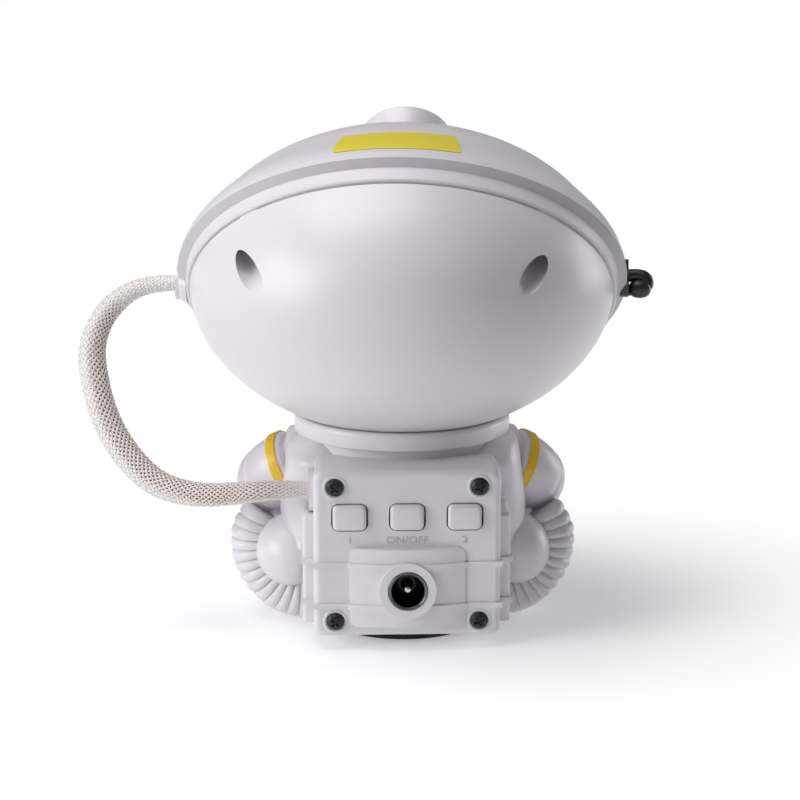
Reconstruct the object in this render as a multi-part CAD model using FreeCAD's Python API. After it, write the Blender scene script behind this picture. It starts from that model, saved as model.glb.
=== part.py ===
import FreeCAD, Part
import math
import os

os.makedirs("parts", exist_ok=True)

# An astronaut figure whose helmet is a star and nebula projector. The helmet turns on a
# neck spigot, a backpack holds the control board, three push buttons and the power socket,
# and a braided hose runs from the helmet to the backpack. Millimetres, +Z up. The figure
# faces +Y, its backpack faces -Y, and the origin is on the neck axis where the base stands.

# General sizes
wall = 2.4
curve_gap = 0.3
running_gap = 0.08
overrun = 3.0
# an edge counts as running along a direction when their dot product is above this
aligned = 0.9
screw_radius = 1.25
screw_clearance = 0.05
screw_head_radius = 2.9
screw_head_height = 2.0

# Base and torso
pad_thickness = 2.0
base_thickness = 2.6
base_radius = 27.6
base_rear = 42.0
base_front = 36.0
torso_height = 62.0
torso_half_width = 41.0
torso_half_depth = 35.0
# height, half width and half depth of each section, as shares of the torso's
torso_shares = (
    (0.0, 0.80, 0.84),
    (0.20, 0.86, 0.90),
    (0.42, 0.93, 0.95),
    (0.64, 1.0, 1.0),
    (0.84, 0.99, 1.0),
    (1.0, 0.95, 0.98),
)

# Neck
collar_radius = 38.4
collar_height = 6.0
collar_round = 1.6
spigot_radius = 25.0
spigot_wall = 3.0
washer_width = 6.0
washer_thickness = 1.2
retainer_lip = 4.0
retainer_thickness = 2.4

# Helmet
head_radius = 75.0
head_half_height = 54.5
head_sink = 6.8
# how far the helmet is turned on the neck, towards the figure's left at the back
head_turn = -4.0
neck_floor = 3.0
rim_lean = 47.5
rim_back = 10.6
trim_width = 7.3
trim_proud = 1.2
trim_round = 0.5
seam_width = 0.8
seam_depth = 0.9
lip_step = 2.4
lip_proud = 4.2
lip_length = 27.0
# distance past the step, then how proud the lip stands, as shares of its length and height
lip_shares = (
    (0.0, 1.0),
    (0.12, 0.97),
    (0.25, 0.87),
    (0.38, 0.70),
    (0.50, 0.51),
    (0.62, 0.32),
    (0.75, 0.15),
    (0.88, 0.04),
    (1.0, -0.03),
)
well_radius = 3.6
well_spread = 48.0
well_height = 44.3
well_floor = 3.0
boss_wall = 1.8
helmet_screw_length = 10.0

# Visor and lens tube, on the axis that the helmet's rim is square to
visor_half_width = 44.0
visor_half_height = 33.0
visor_drop = 11.0
visor_lap = 4.0
visor_wall = 2.0
tube_radius = 16.4
tube_wall = 1.8
tube_start = 22.0
tube_end = 66.6
tube_round = 1.2
tube_flange = 30.0
tube_flange_thickness = 2.4
lens_recess = 3.0
lens_edge = 2.4
lens_crown = 5.6
lens_seat = 2.0

# Light engine behind the lens tube
bulkhead_thickness = 2.4
led_board_size = 20.0
led_board_thickness = 1.6
led_size = 3.4
led_height = 1.2
led_spacing = 5.0
collimator_radius = 7.5
collimator_neck = 4.5
collimator_length = 7.0
sink_size = 30.0
sink_height = 14.0
sink_base = 3.0
sink_fins = 6
sink_fin = 1.4
post_radius = 2.6
post_circle = 27.0
post_angles = (-90.0, -10.0, 190.0)
disc_offset = 14.0
disc_at = 15.0
disc_thickness = 2.0
disc_teeth = 48
pinion_teeth = 12
gear_module = 0.9
gear_backlash = 0.24
pressure_angle = 20.0
addendum_share = 0.8
dedendum_share = 1.15
axle_radius = 2.0
axle_head_radius = 3.4
axle_head_height = 1.0
motor_radius = 7.0
motor_length = 10.0
motor_shaft_radius = 0.8
motor_angle = 35.0
pinion_length = 3.4
laser_radius = 5.5
laser_length = 26.0
laser_drop = 23.5
window_radius = 4.0

# Arms
arm_radius = 12.3
# along X, Y, Z from the shoulder centre, then the radius, all as shares of the arm's radius
arm_shares = (
    (-0.60, 0.0, 0.12, 0.78),
    (0.0, 0.0, 0.0, 0.95),
    (0.53, 0.04, -0.24, 1.0),
    (0.87, 0.33, -0.61, 1.03),
    (0.95, 0.98, -0.90, 0.98),
    (0.84, 1.79, -1.0, 0.84),
    (0.65, 2.52, -0.98, 0.71),
)
arm_heading_shares = (
    (1.0, 0.0, -0.10),
    (0.95, 0.0, -0.30),
    (0.86, 0.28, -0.42),
    (0.62, 0.62, -0.48),
    (0.25, 0.90, -0.35),
    (-0.10, 0.98, -0.12),
    (-0.15, 0.98, 0.0),
)
shoulder_x = 36.0
shoulder_z = 54.6
arm_band_width = 3.2
arm_band_proud = 0.7
arm_band_out = 3.6
cuff_width = 5.0
cuff_proud = 1.3
cuff_out = 1.5
glove_shares = (
    (0.65, 2.55, -0.96, 0.78),
    (0.61, 2.95, -1.0, 0.86),
    (0.57, 3.55, -1.10, 0.80),
    (0.52, 4.05, -1.20, 0.52),
)
glove_heading_share = (-0.10, 1.0, -0.15)

# Legs
leg_x = 34.4
leg_z = 27.4
leg_bend = 14.5
leg_radius = 12.6
rib_depth = 1.1
rib_count = 14
leg_start = -102.0
leg_end = 24.0
leg_rear = 10.0
leg_rise = 8.0
hip_radius = 18.5
hip_depth = 16.0
hip_back = 12.0
shin_shares = (
    (0.0, 0.0, 0.0, 0.92),
    (0.0, 0.95, 0.0, 0.95),
    (-0.04, 1.60, -0.45, 0.90),
    (-0.06, 2.10, -1.10, 0.85),
)
shin_heading_shares = (
    (0.0, 1.0, 0.05),
    (0.0, 0.95, -0.25),
    (0.0, 0.75, -0.65),
    (0.0, 0.30, -0.95),
)
shin_x = 46.0
shin_y = 15.0
shin_z = 26.0
boot_length = 36.0
boot_radius = 10.4
boot_rise = 10.0
sole_thickness = 2.6
sole_proud = 0.8
# distance along the boot as a share of its length, then the radius as a share of the boot's
boot_shares = ((0.0, 0.80), (0.15, 0.96), (0.50, 1.0), (0.82, 0.88), (0.96, 0.60), (1.0, 0.40))

# Backpack
pack_half_width = 31.9
pack_bottom = 4.8
pack_top = 63.0
pack_rear = 52.0
cover_thickness = 4.0
cover_face = 2.0
cover_corner = 3.0
cover_edge = 2.2
case_front = 18.0
case_wall = 2.4
pod_proud = 3.8
pod_rear = 46.0
pod_front = 27.0
pod_bottom = 8.0
pod_top = 46.5
pod_round = 1.6
belt_low_z = 15.7
belt_high_z = 30.2
belt_width = 1.8
belt_proud = 0.7
block_half_width = 19.7
block_bottom = 8.7
block_top = 36.3
block_bulge = 3.2
block_edge = 0.7
block_round = 2.6
socket_z = 22.2
socket_boss_radius = 9.7
socket_boss_proud = 1.4
socket_radius = 6.8
socket_bore = 5.6
socket_depth = 10.0
socket_pin_radius = 1.3
socket_pin_length = 8.0
button_width = 12.1
button_height = 9.3
button_round = 2.4
button_proud = 1.4
button_flange = 1.2
button_flange_thickness = 1.0
button_spacing = 19.6
button_z = 46.9
button_travel = 1.5
button_gap = 0.25
button_stem_radius = 1.6
button_stem_length = 2.6
switch_size = 6.0
switch_height = 3.4
plunger_radius = 1.5
plunger_height = 1.4
board_thickness = 1.6
board_half_width = 28.0
board_bottom = 15.0
board_top = 53.0
cover_screw_x = 24.6
cover_screw_low = 10.2
cover_screw_high = 57.4
cover_screw_length = 12.0
post_wall = 2.0
cover_screw_head = 3.1

# Chest panel
chest_half_width = 15.0
chest_bottom = 34.0
chest_top = 55.0
chest_front = 40.0
chest_round = 2.0

# Hose and its glands
hose_radius = 4.2
# how much of the shorter run beside a bend its arc takes up
hose_trim_share = 0.45
gland_radius = 5.8
gland_flange = 1.6
head_gland_y = 4.0
head_gland_drop = 3.1
head_gland_out = 5.4
pack_gland_y = 40.5
pack_gland_z = 54.0

# Microphone on the right of the helmet
mic_y = 6.0
mic_drop = 2.0
mic_disc_radius = 5.5
mic_disc_out = 5.1
mic_stub_radius = 1.95
mic_stub_length = 3.0
mic_stub_rise = 2.1
mic_bend = 2.4
mic_fall = 2.0
mic_tip_radius = 3.35
mic_tip_half_height = 2.65
mic_tip_out = 4.2
mic_tip_back = 1.5
mic_tip_drop = 3.0
mic_fin_height = 2.4
mic_fin_width = 1.8
mic_ledge_out = 2.9
mic_ledge_thickness = 1.0
mic_ledge_drop = 4.4

# Heights and places that follow
torso_bottom = pad_thickness + base_thickness
collar_bottom = torso_bottom + torso_height
collar_top = collar_bottom + collar_height
helmet_bottom = collar_top + curve_gap
head_z = helmet_bottom + head_half_height - head_sink
case_rear = pack_rear - cover_thickness
head_gland_x = head_radius + head_gland_out
head_gland_z = head_z - head_gland_drop
mic_disc_x = head_radius + mic_disc_out
mic_z = head_z - mic_drop

origin = FreeCAD.Vector(0, 0, 0)
along_x = FreeCAD.Vector(1, 0, 0)
along_y = FreeCAD.Vector(0, 1, 0)
along_z = FreeCAD.Vector(0, 0, 1)
head_centre = FreeCAD.Vector(0, 0, head_z)


def save(name, shape):
    """Writes one sub-part as a STEP file."""
    shape.exportStep("parts/" + name + ".step")


def save_turned(name, shape):
    """Writes a piece of the helmet, turned with the helmet on its neck."""
    shape = shape.copy()
    shape.rotate(origin, along_z, head_turn)
    save(name, shape)


def cylinder(centre, axis, radius, length):
    return Part.makeCylinder(radius, length, centre, axis)


def tube(centre, axis, radius, bore, length):
    hole = Part.makeCylinder(bore, length, centre, axis)
    return cylinder(centre, axis, radius, length).cut(hole)


def block(low, high):
    """A box between two corners."""
    size = high - low
    return Part.makeBox(size.x, size.y, size.z, low)


def spheroid(radius, half_height, centre=head_centre):
    """A ball squashed along the vertical axis. Its own poles lie on the leaning rim axis."""
    lean = math.radians(rim_lean)
    ball = Part.makeSphere(radius, origin, FreeCAD.Vector(0, math.sin(lean), math.cos(lean)))
    squash = FreeCAD.Matrix()
    squash.scale(1, 1, half_height / radius)
    solid = ball.transformGeometry(squash)
    solid.translate(centre)
    return solid


def leaned(shape, lean, centre=head_centre):
    """Turns a shape that was drawn upright so that its axis leans forward by an angle."""
    shape = shape.copy()
    shape.rotate(origin, along_x, -lean)
    shape.translate(centre)
    return shape


def mirrored(shape):
    return shape.mirror(origin, along_x)


def edges_along(edges, direction):
    """The straight edges that run along a direction."""
    return [edge for edge in edges if abs(edge.tangentAt(edge.FirstParameter).dot(direction)) > aligned]


def rounded_slab(half_width, low, high, rear, front, corner):
    """A plate standing in the XZ plane with rounded corners, between two depths."""
    box = block(FreeCAD.Vector(-half_width, -rear, low), FreeCAD.Vector(half_width, -front, high))
    return box.makeFillet(corner, edges_along(box.Edges, along_y))


def limb(places, headings):
    """A smooth loft through circles. Each place is a centre and a radius."""
    rings = []
    for (centre, radius), heading in zip(places, headings):
        rings.append(Part.Wire([Part.makeCircle(radius, centre, heading)]))
    return Part.makeLoft(rings, True, False)


def half_space(lean, height, upper):
    """A large block on one side of the plane that lies square to a leaning axis."""
    reach = 2 * head_radius
    low = height if upper else height - 2 * reach
    box = Part.makeBox(2 * reach, 2 * reach, 2 * reach, FreeCAD.Vector(-reach, -reach, low))
    return leaned(box, lean)


# Torso: two moulded halves over one outline

def torso_loft(inset):
    rings = []
    for height, wide, deep in torso_shares:
        level = torso_bottom + height * torso_height
        if height == 0:
            level += inset
        if height == 1:
            level -= inset
        half_width = wide * torso_half_width - inset
        half_depth = deep * torso_half_depth - inset
        ring = Part.Ellipse(FreeCAD.Vector(0, 0, level), half_width, half_depth)
        rings.append(Part.Wire([ring.toShape()]))
    return Part.makeLoft(rings, True, False)


torso_solid = torso_loft(0)
spigot_hole = cylinder(FreeCAD.Vector(0, 0, collar_bottom - 2 * wall), along_z, spigot_radius - spigot_wall,
                       4 * wall)
torso = torso_solid.cut(torso_loft(wall)).cut(spigot_hole)
reach = 2 * torso_half_width
front_half = block(FreeCAD.Vector(-reach, 0, 0), FreeCAD.Vector(reach, reach, 2 * reach))
rear_half = block(FreeCAD.Vector(-reach, -reach, 0), FreeCAD.Vector(reach, 0, 2 * reach))
save("torso_front_shell", torso.common(front_half))
save("torso_rear_shell", torso.common(rear_half))

# Base: a flat bottom plate and its soft pad, both as long as they are wide plus a straight


def base_outline(inset, low, thickness):
    radius = base_radius - inset
    rear = cylinder(FreeCAD.Vector(0, base_radius - base_rear, low), along_z, radius, thickness)
    front = cylinder(FreeCAD.Vector(0, base_front - base_radius, low), along_z, radius, thickness)
    middle = block(
        FreeCAD.Vector(-radius, base_radius - base_rear, low),
        FreeCAD.Vector(radius, base_front - base_radius, low + thickness),
    )
    return rear.fuse([front, middle]).removeSplitter()


save("base_pad", base_outline(wall / 2, 0, pad_thickness))
save("base_plate", base_outline(0, pad_thickness, base_thickness))

# Neck: collar, spigot, washer and the retaining ring that holds the helmet down

collar = tube(FreeCAD.Vector(0, 0, collar_bottom), along_z, collar_radius, spigot_radius, collar_height)
outer_edges = [edge for edge in collar.Edges if edge.BoundBox.XMax > collar_radius - wall / 2]
top_edges = [edge for edge in outer_edges if edge.BoundBox.ZMin > collar_top - wall / 2]
collar = collar.makeFillet(collar_round, top_edges)
washer_bore = spigot_radius + running_gap
washer_place = FreeCAD.Vector(0, 0, helmet_bottom - washer_thickness)
washer_groove = tube(washer_place, along_z, washer_bore + washer_width, spigot_radius, overrun)
save("neck_collar", collar.cut(washer_groove))
save("swivel_washer", tube(washer_place, along_z, washer_bore + washer_width - running_gap, washer_bore,
                           washer_thickness))
floor_top = helmet_bottom + neck_floor
spigot_top = floor_top + running_gap
spigot_low = FreeCAD.Vector(0, 0, collar_bottom)
spigot = tube(spigot_low, along_z, spigot_radius, spigot_radius - spigot_wall, spigot_top - collar_bottom)
save("neck_spigot", spigot)
retainer = tube(FreeCAD.Vector(0, 0, spigot_top), along_z, spigot_radius + retainer_lip,
                spigot_radius - 2 * spigot_wall, retainer_thickness)
save("neck_retainer", retainer)

# Helmet: two moulded shells that meet on a plane leaning back from the figure's face


def rim_ellipse(height, proud):
    """The helmet's own section on a plane square to the leaning rim axis, made larger by proud."""
    lean = math.radians(rim_lean)
    across = head_radius ** 2
    up = head_half_height ** 2
    square = math.cos(lean) ** 2 / across + math.sin(lean) ** 2 / up
    slope = height * math.sin(lean) * math.cos(lean) * (1 / up - 1 / across)
    rest = 1 - height ** 2 * (math.sin(lean) ** 2 / across + math.cos(lean) ** 2 / up)
    shift = -slope / square
    level = rest + slope ** 2 / square
    half_across = head_radius * math.sqrt(level) + proud
    half_up = math.sqrt(level / square) + proud
    ring = Part.Ellipse(FreeCAD.Vector(0, -shift, height), half_across, half_up)
    return Part.Wire([ring.toShape()])


def rim_loft(stations):
    rings = [rim_ellipse(height, proud) for height, proud in stations]
    return leaned(Part.makeLoft(rings, True, True), rim_lean)


outer_head = spheroid(head_radius, head_half_height)
inner_head = spheroid(head_radius - wall, head_half_height - wall)
reach = 2 * head_radius
above_collar = block(FreeCAD.Vector(-reach, -reach, helmet_bottom), FreeCAD.Vector(reach, reach, 2 * reach))
above_floor = block(FreeCAD.Vector(-reach, -reach, floor_top), FreeCAD.Vector(reach, reach, 2 * reach))
cavity = inner_head.common(above_floor)
seam = -rim_back
trim_end = seam + trim_width
step_end = trim_end + lip_step


def rim_pin(across, up, low, radius, length):
    """A cylinder along the rim axis. Across and up place it on a plane square to that axis."""
    place = FreeCAD.Vector(across, -up, low)
    return leaned(Part.makeCylinder(radius, length, place, along_z), rim_lean)


rear_side = half_space(rim_lean, seam, False)
front_side = half_space(rim_lean, trim_end, True)
step = rim_loft(((trim_end, trim_proud), (step_end, lip_proud)))
lip = rim_loft([(step_end + far * lip_length, high * lip_proud) for far, high in lip_shares])
trim = rim_loft(((seam + seam_width, trim_proud - trim_round),
                 (seam + seam_width + trim_round, trim_proud),
                 (trim_end, trim_proud)))
tongue = rim_loft(((seam, -seam_depth), (seam + seam_width, -seam_depth)))

boss_radius = well_radius + boss_wall
bosses = []
wells = []
screw_holes = []
helmet_screws = []
for side in (-1, 1):
    across = side * well_spread
    bosses.append(rim_pin(across, well_height, seam - head_radius, boss_radius, 2 * head_radius))
    wells.append(rim_pin(across, well_height, seam - head_radius, well_radius, head_radius - well_floor))
    hole_low = seam - well_floor - overrun
    hole_radius = screw_radius + screw_clearance
    screw_holes.append(rim_pin(across, well_height, hole_low, hole_radius, helmet_screw_length + 2 * overrun))
    head_low = seam - well_floor - screw_head_height
    head_pin = rim_pin(across, well_height, head_low, screw_head_radius, screw_head_height)
    shank = rim_pin(across, well_height, seam - well_floor, screw_radius, helmet_screw_length)
    helmet_screws.append(head_pin.fuse(shank))
boss_pair = bosses[0].fuse(bosses[1]).common(outer_head)
boss_tip = half_space(rim_lean, seam + helmet_screw_length + well_floor, False)

rear_shell = outer_head.common(rear_side).cut(cavity).common(above_collar)
rear_shell = rear_shell.fuse(boss_pair.common(rear_side)).cut(wells + screw_holes)
neck_hole = cylinder(FreeCAD.Vector(0, 0, helmet_bottom - overrun), along_z, spigot_radius + running_gap,
                     neck_floor + 2 * overrun)
save_turned("helmet_rear_shell", rear_shell.cut(neck_hole))

front_bosses = boss_pair.cut(rear_side).common(boss_tip)
head_gland_place = FreeCAD.Vector(-head_gland_x, head_gland_y, head_gland_z)
gland_hole = cylinder(head_gland_place, along_x, gland_radius, 4 * wall + overrun)
trim_ring = trim.fuse(tongue).cut(cavity).common(above_collar).cut([front_bosses, gland_hole])
save_turned("helmet_trim_ring", trim_ring)

front_dome = outer_head.common(front_side).fuse([step, lip]).common(above_collar).cut(cavity)


def rim_oval(half_width, half_height):
    """An oval bar along the rim axis, through the visor opening."""
    ring = Part.Ellipse(FreeCAD.Vector(0, visor_drop, 0), half_width, half_height)
    face = Part.Face(Part.Wire([ring.toShape()]))
    return leaned(face.extrude(along_z * 2 * head_radius), rim_lean)


front_shell = front_dome.cut(rim_oval(visor_half_width, visor_half_height)).cut(gland_hole)
front_shell = front_shell.fuse(front_bosses).cut(screw_holes)
save_turned("helmet_front_shell", front_shell)
save_turned("helmet_screws", Part.makeCompound(helmet_screws))

# Visor: a dark shell behind the opening, with holes for the lens tube and the laser window

inset = wall + curve_gap
visor_skin = spheroid(head_radius - inset, head_half_height - inset)
visor_skin = visor_skin.cut(spheroid(head_radius - inset - visor_wall, head_half_height - inset - visor_wall))
visor = visor_skin.common(rim_oval(visor_half_width + visor_lap, visor_half_height + visor_lap))
tube_hole = rim_pin(0, 0, 0, tube_radius + curve_gap, 2 * head_radius)
window_hole = rim_pin(0, -laser_drop, 0, window_radius, 2 * head_radius)
visor = visor.cut([tube_hole, window_hole])
save_turned("visor", visor)
window_bar = rim_pin(0, -laser_drop, 0, window_radius, 2 * head_radius)
save_turned("laser_window", visor_skin.common(window_bar))

# Lens tube with its flange, and the projection lens seated near its mouth

tube_bore = tube_radius - tube_wall
mouth = Part.makeCylinder(tube_radius, tube_end - tube_start, along_z * tube_start, along_z)
mouth_edges = [edge for edge in mouth.Edges if edge.BoundBox.ZMin > tube_end - tube_round]
mouth = leaned(mouth.makeFillet(tube_round, mouth_edges), rim_lean)
flange = rim_pin(0, 0, tube_start, tube_flange, tube_flange_thickness)
lens_low = tube_end - lens_recess - lens_crown - lens_edge
seat = rim_pin(0, 0, lens_low - lens_seat, tube_bore - lens_seat, lens_seat)
lens_space = rim_pin(0, 0, lens_low, tube_bore, tube_end - lens_low + overrun)
rear_space = rim_pin(0, 0, tube_start - overrun, tube_bore, lens_low - lens_seat - tube_start + overrun)
save_turned("lens_tube", mouth.fuse(flange).cut([seat, lens_space, rear_space]))
lens_radius = tube_bore - running_gap
lens_bend = (lens_radius ** 2 + lens_crown ** 2) / (2 * lens_crown)
lens_ball = Part.makeSphere(lens_bend, FreeCAD.Vector(0, 0, lens_low + lens_edge + lens_crown - lens_bend))
lens_bar = Part.makeCylinder(lens_radius, lens_edge + lens_crown, FreeCAD.Vector(0, 0, lens_low), along_z)
save_turned("projection_lens", leaned(lens_ball.common(lens_bar), rim_lean))

# Bulkhead across the front shell, which carries the lights, the disc, its motor and the tube

inner_fit = wall + curve_gap
bulkhead_rim = spheroid(head_radius - inner_fit, head_half_height - inner_fit).common(above_floor)
slab = half_space(rim_lean, 0, True).cut(half_space(rim_lean, bulkhead_thickness, True))
boss_room = []
for side in (-1, 1):
    boss_room.append(rim_pin(side * well_spread, well_height, -overrun, boss_radius + curve_gap,
                             bulkhead_thickness + 2 * overrun))
bulkhead = bulkhead_rim.common(slab).cut(boss_room)
for angle in post_angles:
    across = post_circle * math.cos(math.radians(angle))
    up = -post_circle * math.sin(math.radians(angle))
    post_length = tube_start - bulkhead_thickness
    bulkhead = bulkhead.fuse(rim_pin(across, up, bulkhead_thickness, post_radius, post_length))
save_turned("optics_bulkhead", bulkhead)

half = sink_size / 2
sink = Part.makeBox(sink_size, sink_size, sink_base, FreeCAD.Vector(-half, -half, -sink_base))
for fin in range(sink_fins):
    left = -half + fin * (sink_size - sink_fin) / (sink_fins - 1)
    blade = Part.makeBox(sink_fin, sink_size, sink_height, FreeCAD.Vector(left, -half, -sink_height))
    sink = sink.fuse(blade)
save_turned("heat_sink", leaned(sink.removeSplitter(), rim_lean))

half = led_board_size / 2
led_board = Part.makeBox(led_board_size, led_board_size, led_board_thickness,
                         FreeCAD.Vector(-half, -half, bulkhead_thickness))
save_turned("led_board", leaned(led_board, rim_lean))
led_base = bulkhead_thickness + led_board_thickness
leds = []
for column in (-1, 1):
    for row in (-1, 1):
        left = column * led_spacing / 2 - led_size / 2
        corner = FreeCAD.Vector(left, row * led_spacing / 2 - led_size / 2, led_base)
        leds.append(leaned(Part.makeBox(led_size, led_size, led_height, corner), rim_lean))
save_turned("led_emitters", Part.makeCompound(leds))
collimator_low = led_base + led_height + running_gap
collimator = Part.makeCone(collimator_neck, collimator_radius, collimator_length,
                           FreeCAD.Vector(0, 0, collimator_low), along_z)
save_turned("collimator_lens", leaned(collimator, rim_lean))

# Ripple disc and its motor pinion: a pair of spur gears, the disc itself being the wheel


def gear_outline(teeth, turn):
    """A closed line round spur teeth whose flanks are straight between three radii."""
    pitch = gear_module * teeth / 2
    top = pitch + addendum_share * gear_module
    root = pitch - dedendum_share * gear_module
    half_tooth = math.pi / (2 * teeth) - gear_backlash / (4 * pitch)
    lean = math.tan(math.radians(pressure_angle)) * gear_module / pitch
    corners = ((root, half_tooth + dedendum_share * lean), (top, half_tooth - addendum_share * lean),
               (top, addendum_share * lean - half_tooth), (root, -half_tooth - dedendum_share * lean))
    points = []
    for tooth in range(teeth):
        middle = turn + 2 * math.pi * tooth / teeth
        for radius, aside in reversed(corners):
            angle = middle + aside
            points.append(FreeCAD.Vector(radius * math.cos(angle), radius * math.sin(angle), 0))
    return Part.Face(Part.Wire(Part.makePolygon(points + points[:1])))


def gear(teeth, turn, centre, thickness):
    face = gear_outline(teeth, turn)
    solid = face.extrude(along_z * thickness)
    solid.translate(centre)
    return solid


disc_centre = FreeCAD.Vector(0, disc_offset, disc_at)
mesh_angle = math.radians(motor_angle)
centre_distance = gear_module * (disc_teeth + pinion_teeth) / 2
pinion_middle = disc_at + disc_thickness / 2
pinion_x = centre_distance * math.cos(mesh_angle)
pinion_y = disc_offset + centre_distance * math.sin(mesh_angle)
pinion_centre = FreeCAD.Vector(pinion_x, pinion_y, pinion_middle - pinion_length / 2)
ripple_disc = gear(disc_teeth, mesh_angle, disc_centre, disc_thickness)
disc_bore = Part.makeCylinder(axle_radius + running_gap, disc_thickness, disc_centre, along_z)
save_turned("ripple_disc", leaned(ripple_disc.cut(disc_bore), rim_lean))
pinion_turn = mesh_angle + math.pi + math.pi / pinion_teeth
pinion = gear(pinion_teeth, pinion_turn, pinion_centre, pinion_length)
shaft_bore = Part.makeCylinder(motor_shaft_radius + running_gap / 2, pinion_length, pinion_centre, along_z)
save_turned("motor_pinion", leaned(pinion.cut(shaft_bore), rim_lean))

axle_foot = FreeCAD.Vector(0, disc_offset, bulkhead_thickness)
shoulder_length = disc_at - running_gap - bulkhead_thickness
axle = Part.makeCylinder(axle_head_radius, shoulder_length, axle_foot, along_z)
axle_length = shoulder_length + disc_thickness + 2 * running_gap
axle = axle.fuse(Part.makeCylinder(axle_radius, axle_length, axle_foot, along_z))
cap_place = FreeCAD.Vector(0, disc_offset, disc_at + disc_thickness + running_gap)
axle = axle.fuse(Part.makeCylinder(axle_head_radius, axle_head_height, cap_place, along_z))
save_turned("disc_axle", leaned(axle, rim_lean))
motor_place = FreeCAD.Vector(pinion_x, pinion_y, bulkhead_thickness)
motor = Part.makeCylinder(motor_radius, motor_length, motor_place, along_z)
shaft_length = pinion_centre.z + pinion_length - bulkhead_thickness
motor = motor.fuse(Part.makeCylinder(motor_shaft_radius, shaft_length, motor_place, along_z))
save_turned("ripple_motor", leaned(motor, rim_lean))

laser_low = tube_start + tube_flange_thickness
save_turned("laser_module", rim_pin(0, -laser_drop, laser_low, laser_radius, laser_length))

# Arms: shoulder to wrist, with a raised yellow band, a cuff at the shoulder and a glove


def arm_places(shares, grow):
    places = []
    for across, along, up, wide in shares:
        across_to = shoulder_x + across * arm_radius
        centre = FreeCAD.Vector(across_to, along * arm_radius, shoulder_z + up * arm_radius)
        places.append((centre, wide * arm_radius + grow))
    return places


def arm_headings():
    return [FreeCAD.Vector(*heading) for heading in arm_heading_shares]


arm = limb(arm_places(arm_shares, 0), arm_headings()).cut(torso_solid)
arm = max(arm.Solids, key=lambda solid: solid.Volume)


def arm_ring(out, width, proud):
    """A raised ring round the arm, square to the upper arm and a distance out from the shoulder."""
    heading = FreeCAD.Vector(*arm_heading_shares[2]).normalize()
    centre = FreeCAD.Vector(shoulder_x, 0, shoulder_z) + heading * out
    ring_slab = Part.makeCylinder(2 * arm_radius, width, centre, heading)
    grown = limb(arm_places(arm_shares, proud), arm_headings())
    bare = limb(arm_places(arm_shares, 0), arm_headings())
    ring = grown.common(ring_slab).cut(bare).cut(torso_solid)
    return max(ring.Solids, key=lambda solid: solid.Volume)


arm_band = arm_ring(arm_band_out, arm_band_width, arm_band_proud)
collar_room = cylinder(spigot_low, along_z, collar_radius, collar_height)
shoulder_cuff = arm_ring(-cuff_out - cuff_width, cuff_width, cuff_proud).cut(collar_room)
glove_headings = [FreeCAD.Vector(*glove_heading_share)] * len(glove_shares)
glove = limb(arm_places(glove_shares, 0), glove_headings).cut(arm)
glove = max(glove.Solids, key=lambda solid: solid.Volume)
for side, part in (("right", lambda shape: shape), ("left", mirrored)):
    save("arm_" + side, part(arm))
    save("arm_band_" + side, part(arm_band))
    save("shoulder_cuff_" + side, part(shoulder_cuff))
    save("glove_" + side, part(glove))

# Backpack: case with side pods, cover with its raised block, buttons, board and socket


def belt(half_width, level, front, rear):
    low = FreeCAD.Vector(-half_width - belt_proud, -rear - belt_proud, level - belt_width / 2)
    high = FreeCAD.Vector(half_width + belt_proud, -front, level + belt_width / 2)
    return block(low, high)


case_block = rounded_slab(pack_half_width, pack_bottom, pack_top, case_rear, case_front, cover_corner)
pod_low = FreeCAD.Vector(-pack_half_width - pod_proud, -pod_rear, pod_bottom)
pod_high = FreeCAD.Vector(pack_half_width + pod_proud, -pod_front, pod_top)
pods = block(pod_low, pod_high)
pods = pods.makeFillet(pod_round, edges_along(pods.Edges, along_z))
crown_edges = [edge for edge in pods.Edges if edge.BoundBox.ZMin > pod_top - wall / 2]
pods = pods.makeFillet(pod_round, edges_along(crown_edges, along_y))
belts = []
for level in (belt_low_z, belt_high_z):
    belts.append(belt(pack_half_width + pod_proud, level, pod_front, pod_rear))
pod_limits = block(FreeCAD.Vector(-reach, -case_rear, 0), FreeCAD.Vector(reach, 0, reach))
pod_skin = pods.fuse(belts).common(pod_limits)
stem_tip = pack_rear - cover_face - button_flange_thickness - button_stem_length - running_gap
plunger_tip = stem_tip - button_travel - running_gap
board_face = plunger_tip - plunger_height - switch_height
pocket_floor = board_face - board_thickness
pocket = rounded_slab(pack_half_width - case_wall, pack_bottom + case_wall, pack_top - case_wall,
                      case_rear + overrun, pocket_floor, cover_corner - case_wall / 2)
post_places = []
for across in (-cover_screw_x, cover_screw_x):
    for level in (cover_screw_low, cover_screw_high):
        post_places.append((across, level))
post_outer = screw_radius + post_wall
posts = [cylinder(FreeCAD.Vector(x, -case_rear, z), along_y, post_outer, case_rear - pocket_floor)
         for x, z in post_places]
screw_bores = [cylinder(FreeCAD.Vector(x, -pack_rear - overrun, z), along_y, screw_radius + screw_clearance,
                        cover_screw_length + 2 * overrun) for x, z in post_places]
pack_gland_bore = cylinder(FreeCAD.Vector(-pack_half_width - overrun, -pack_gland_y, pack_gland_z), along_x,
                           gland_radius, case_wall + 2 * overrun)
case = case_block.fuse(pod_skin).cut(torso_solid).cut(pocket).fuse(posts).cut(screw_bores + [pack_gland_bore])
base_room = base_outline(-running_gap, 0, torso_bottom)
case = max(case.cut(base_room).Solids, key=lambda solid: solid.Volume)
save("backpack_case", case.removeSplitter())

cover = rounded_slab(pack_half_width, pack_bottom, pack_top, pack_rear, case_rear, cover_corner)
rear_edges = [edge for edge in cover.Edges if edge.BoundBox.YMax < -pack_rear + running_gap]
cover = cover.makeFillet(cover_edge, rear_edges)


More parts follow.
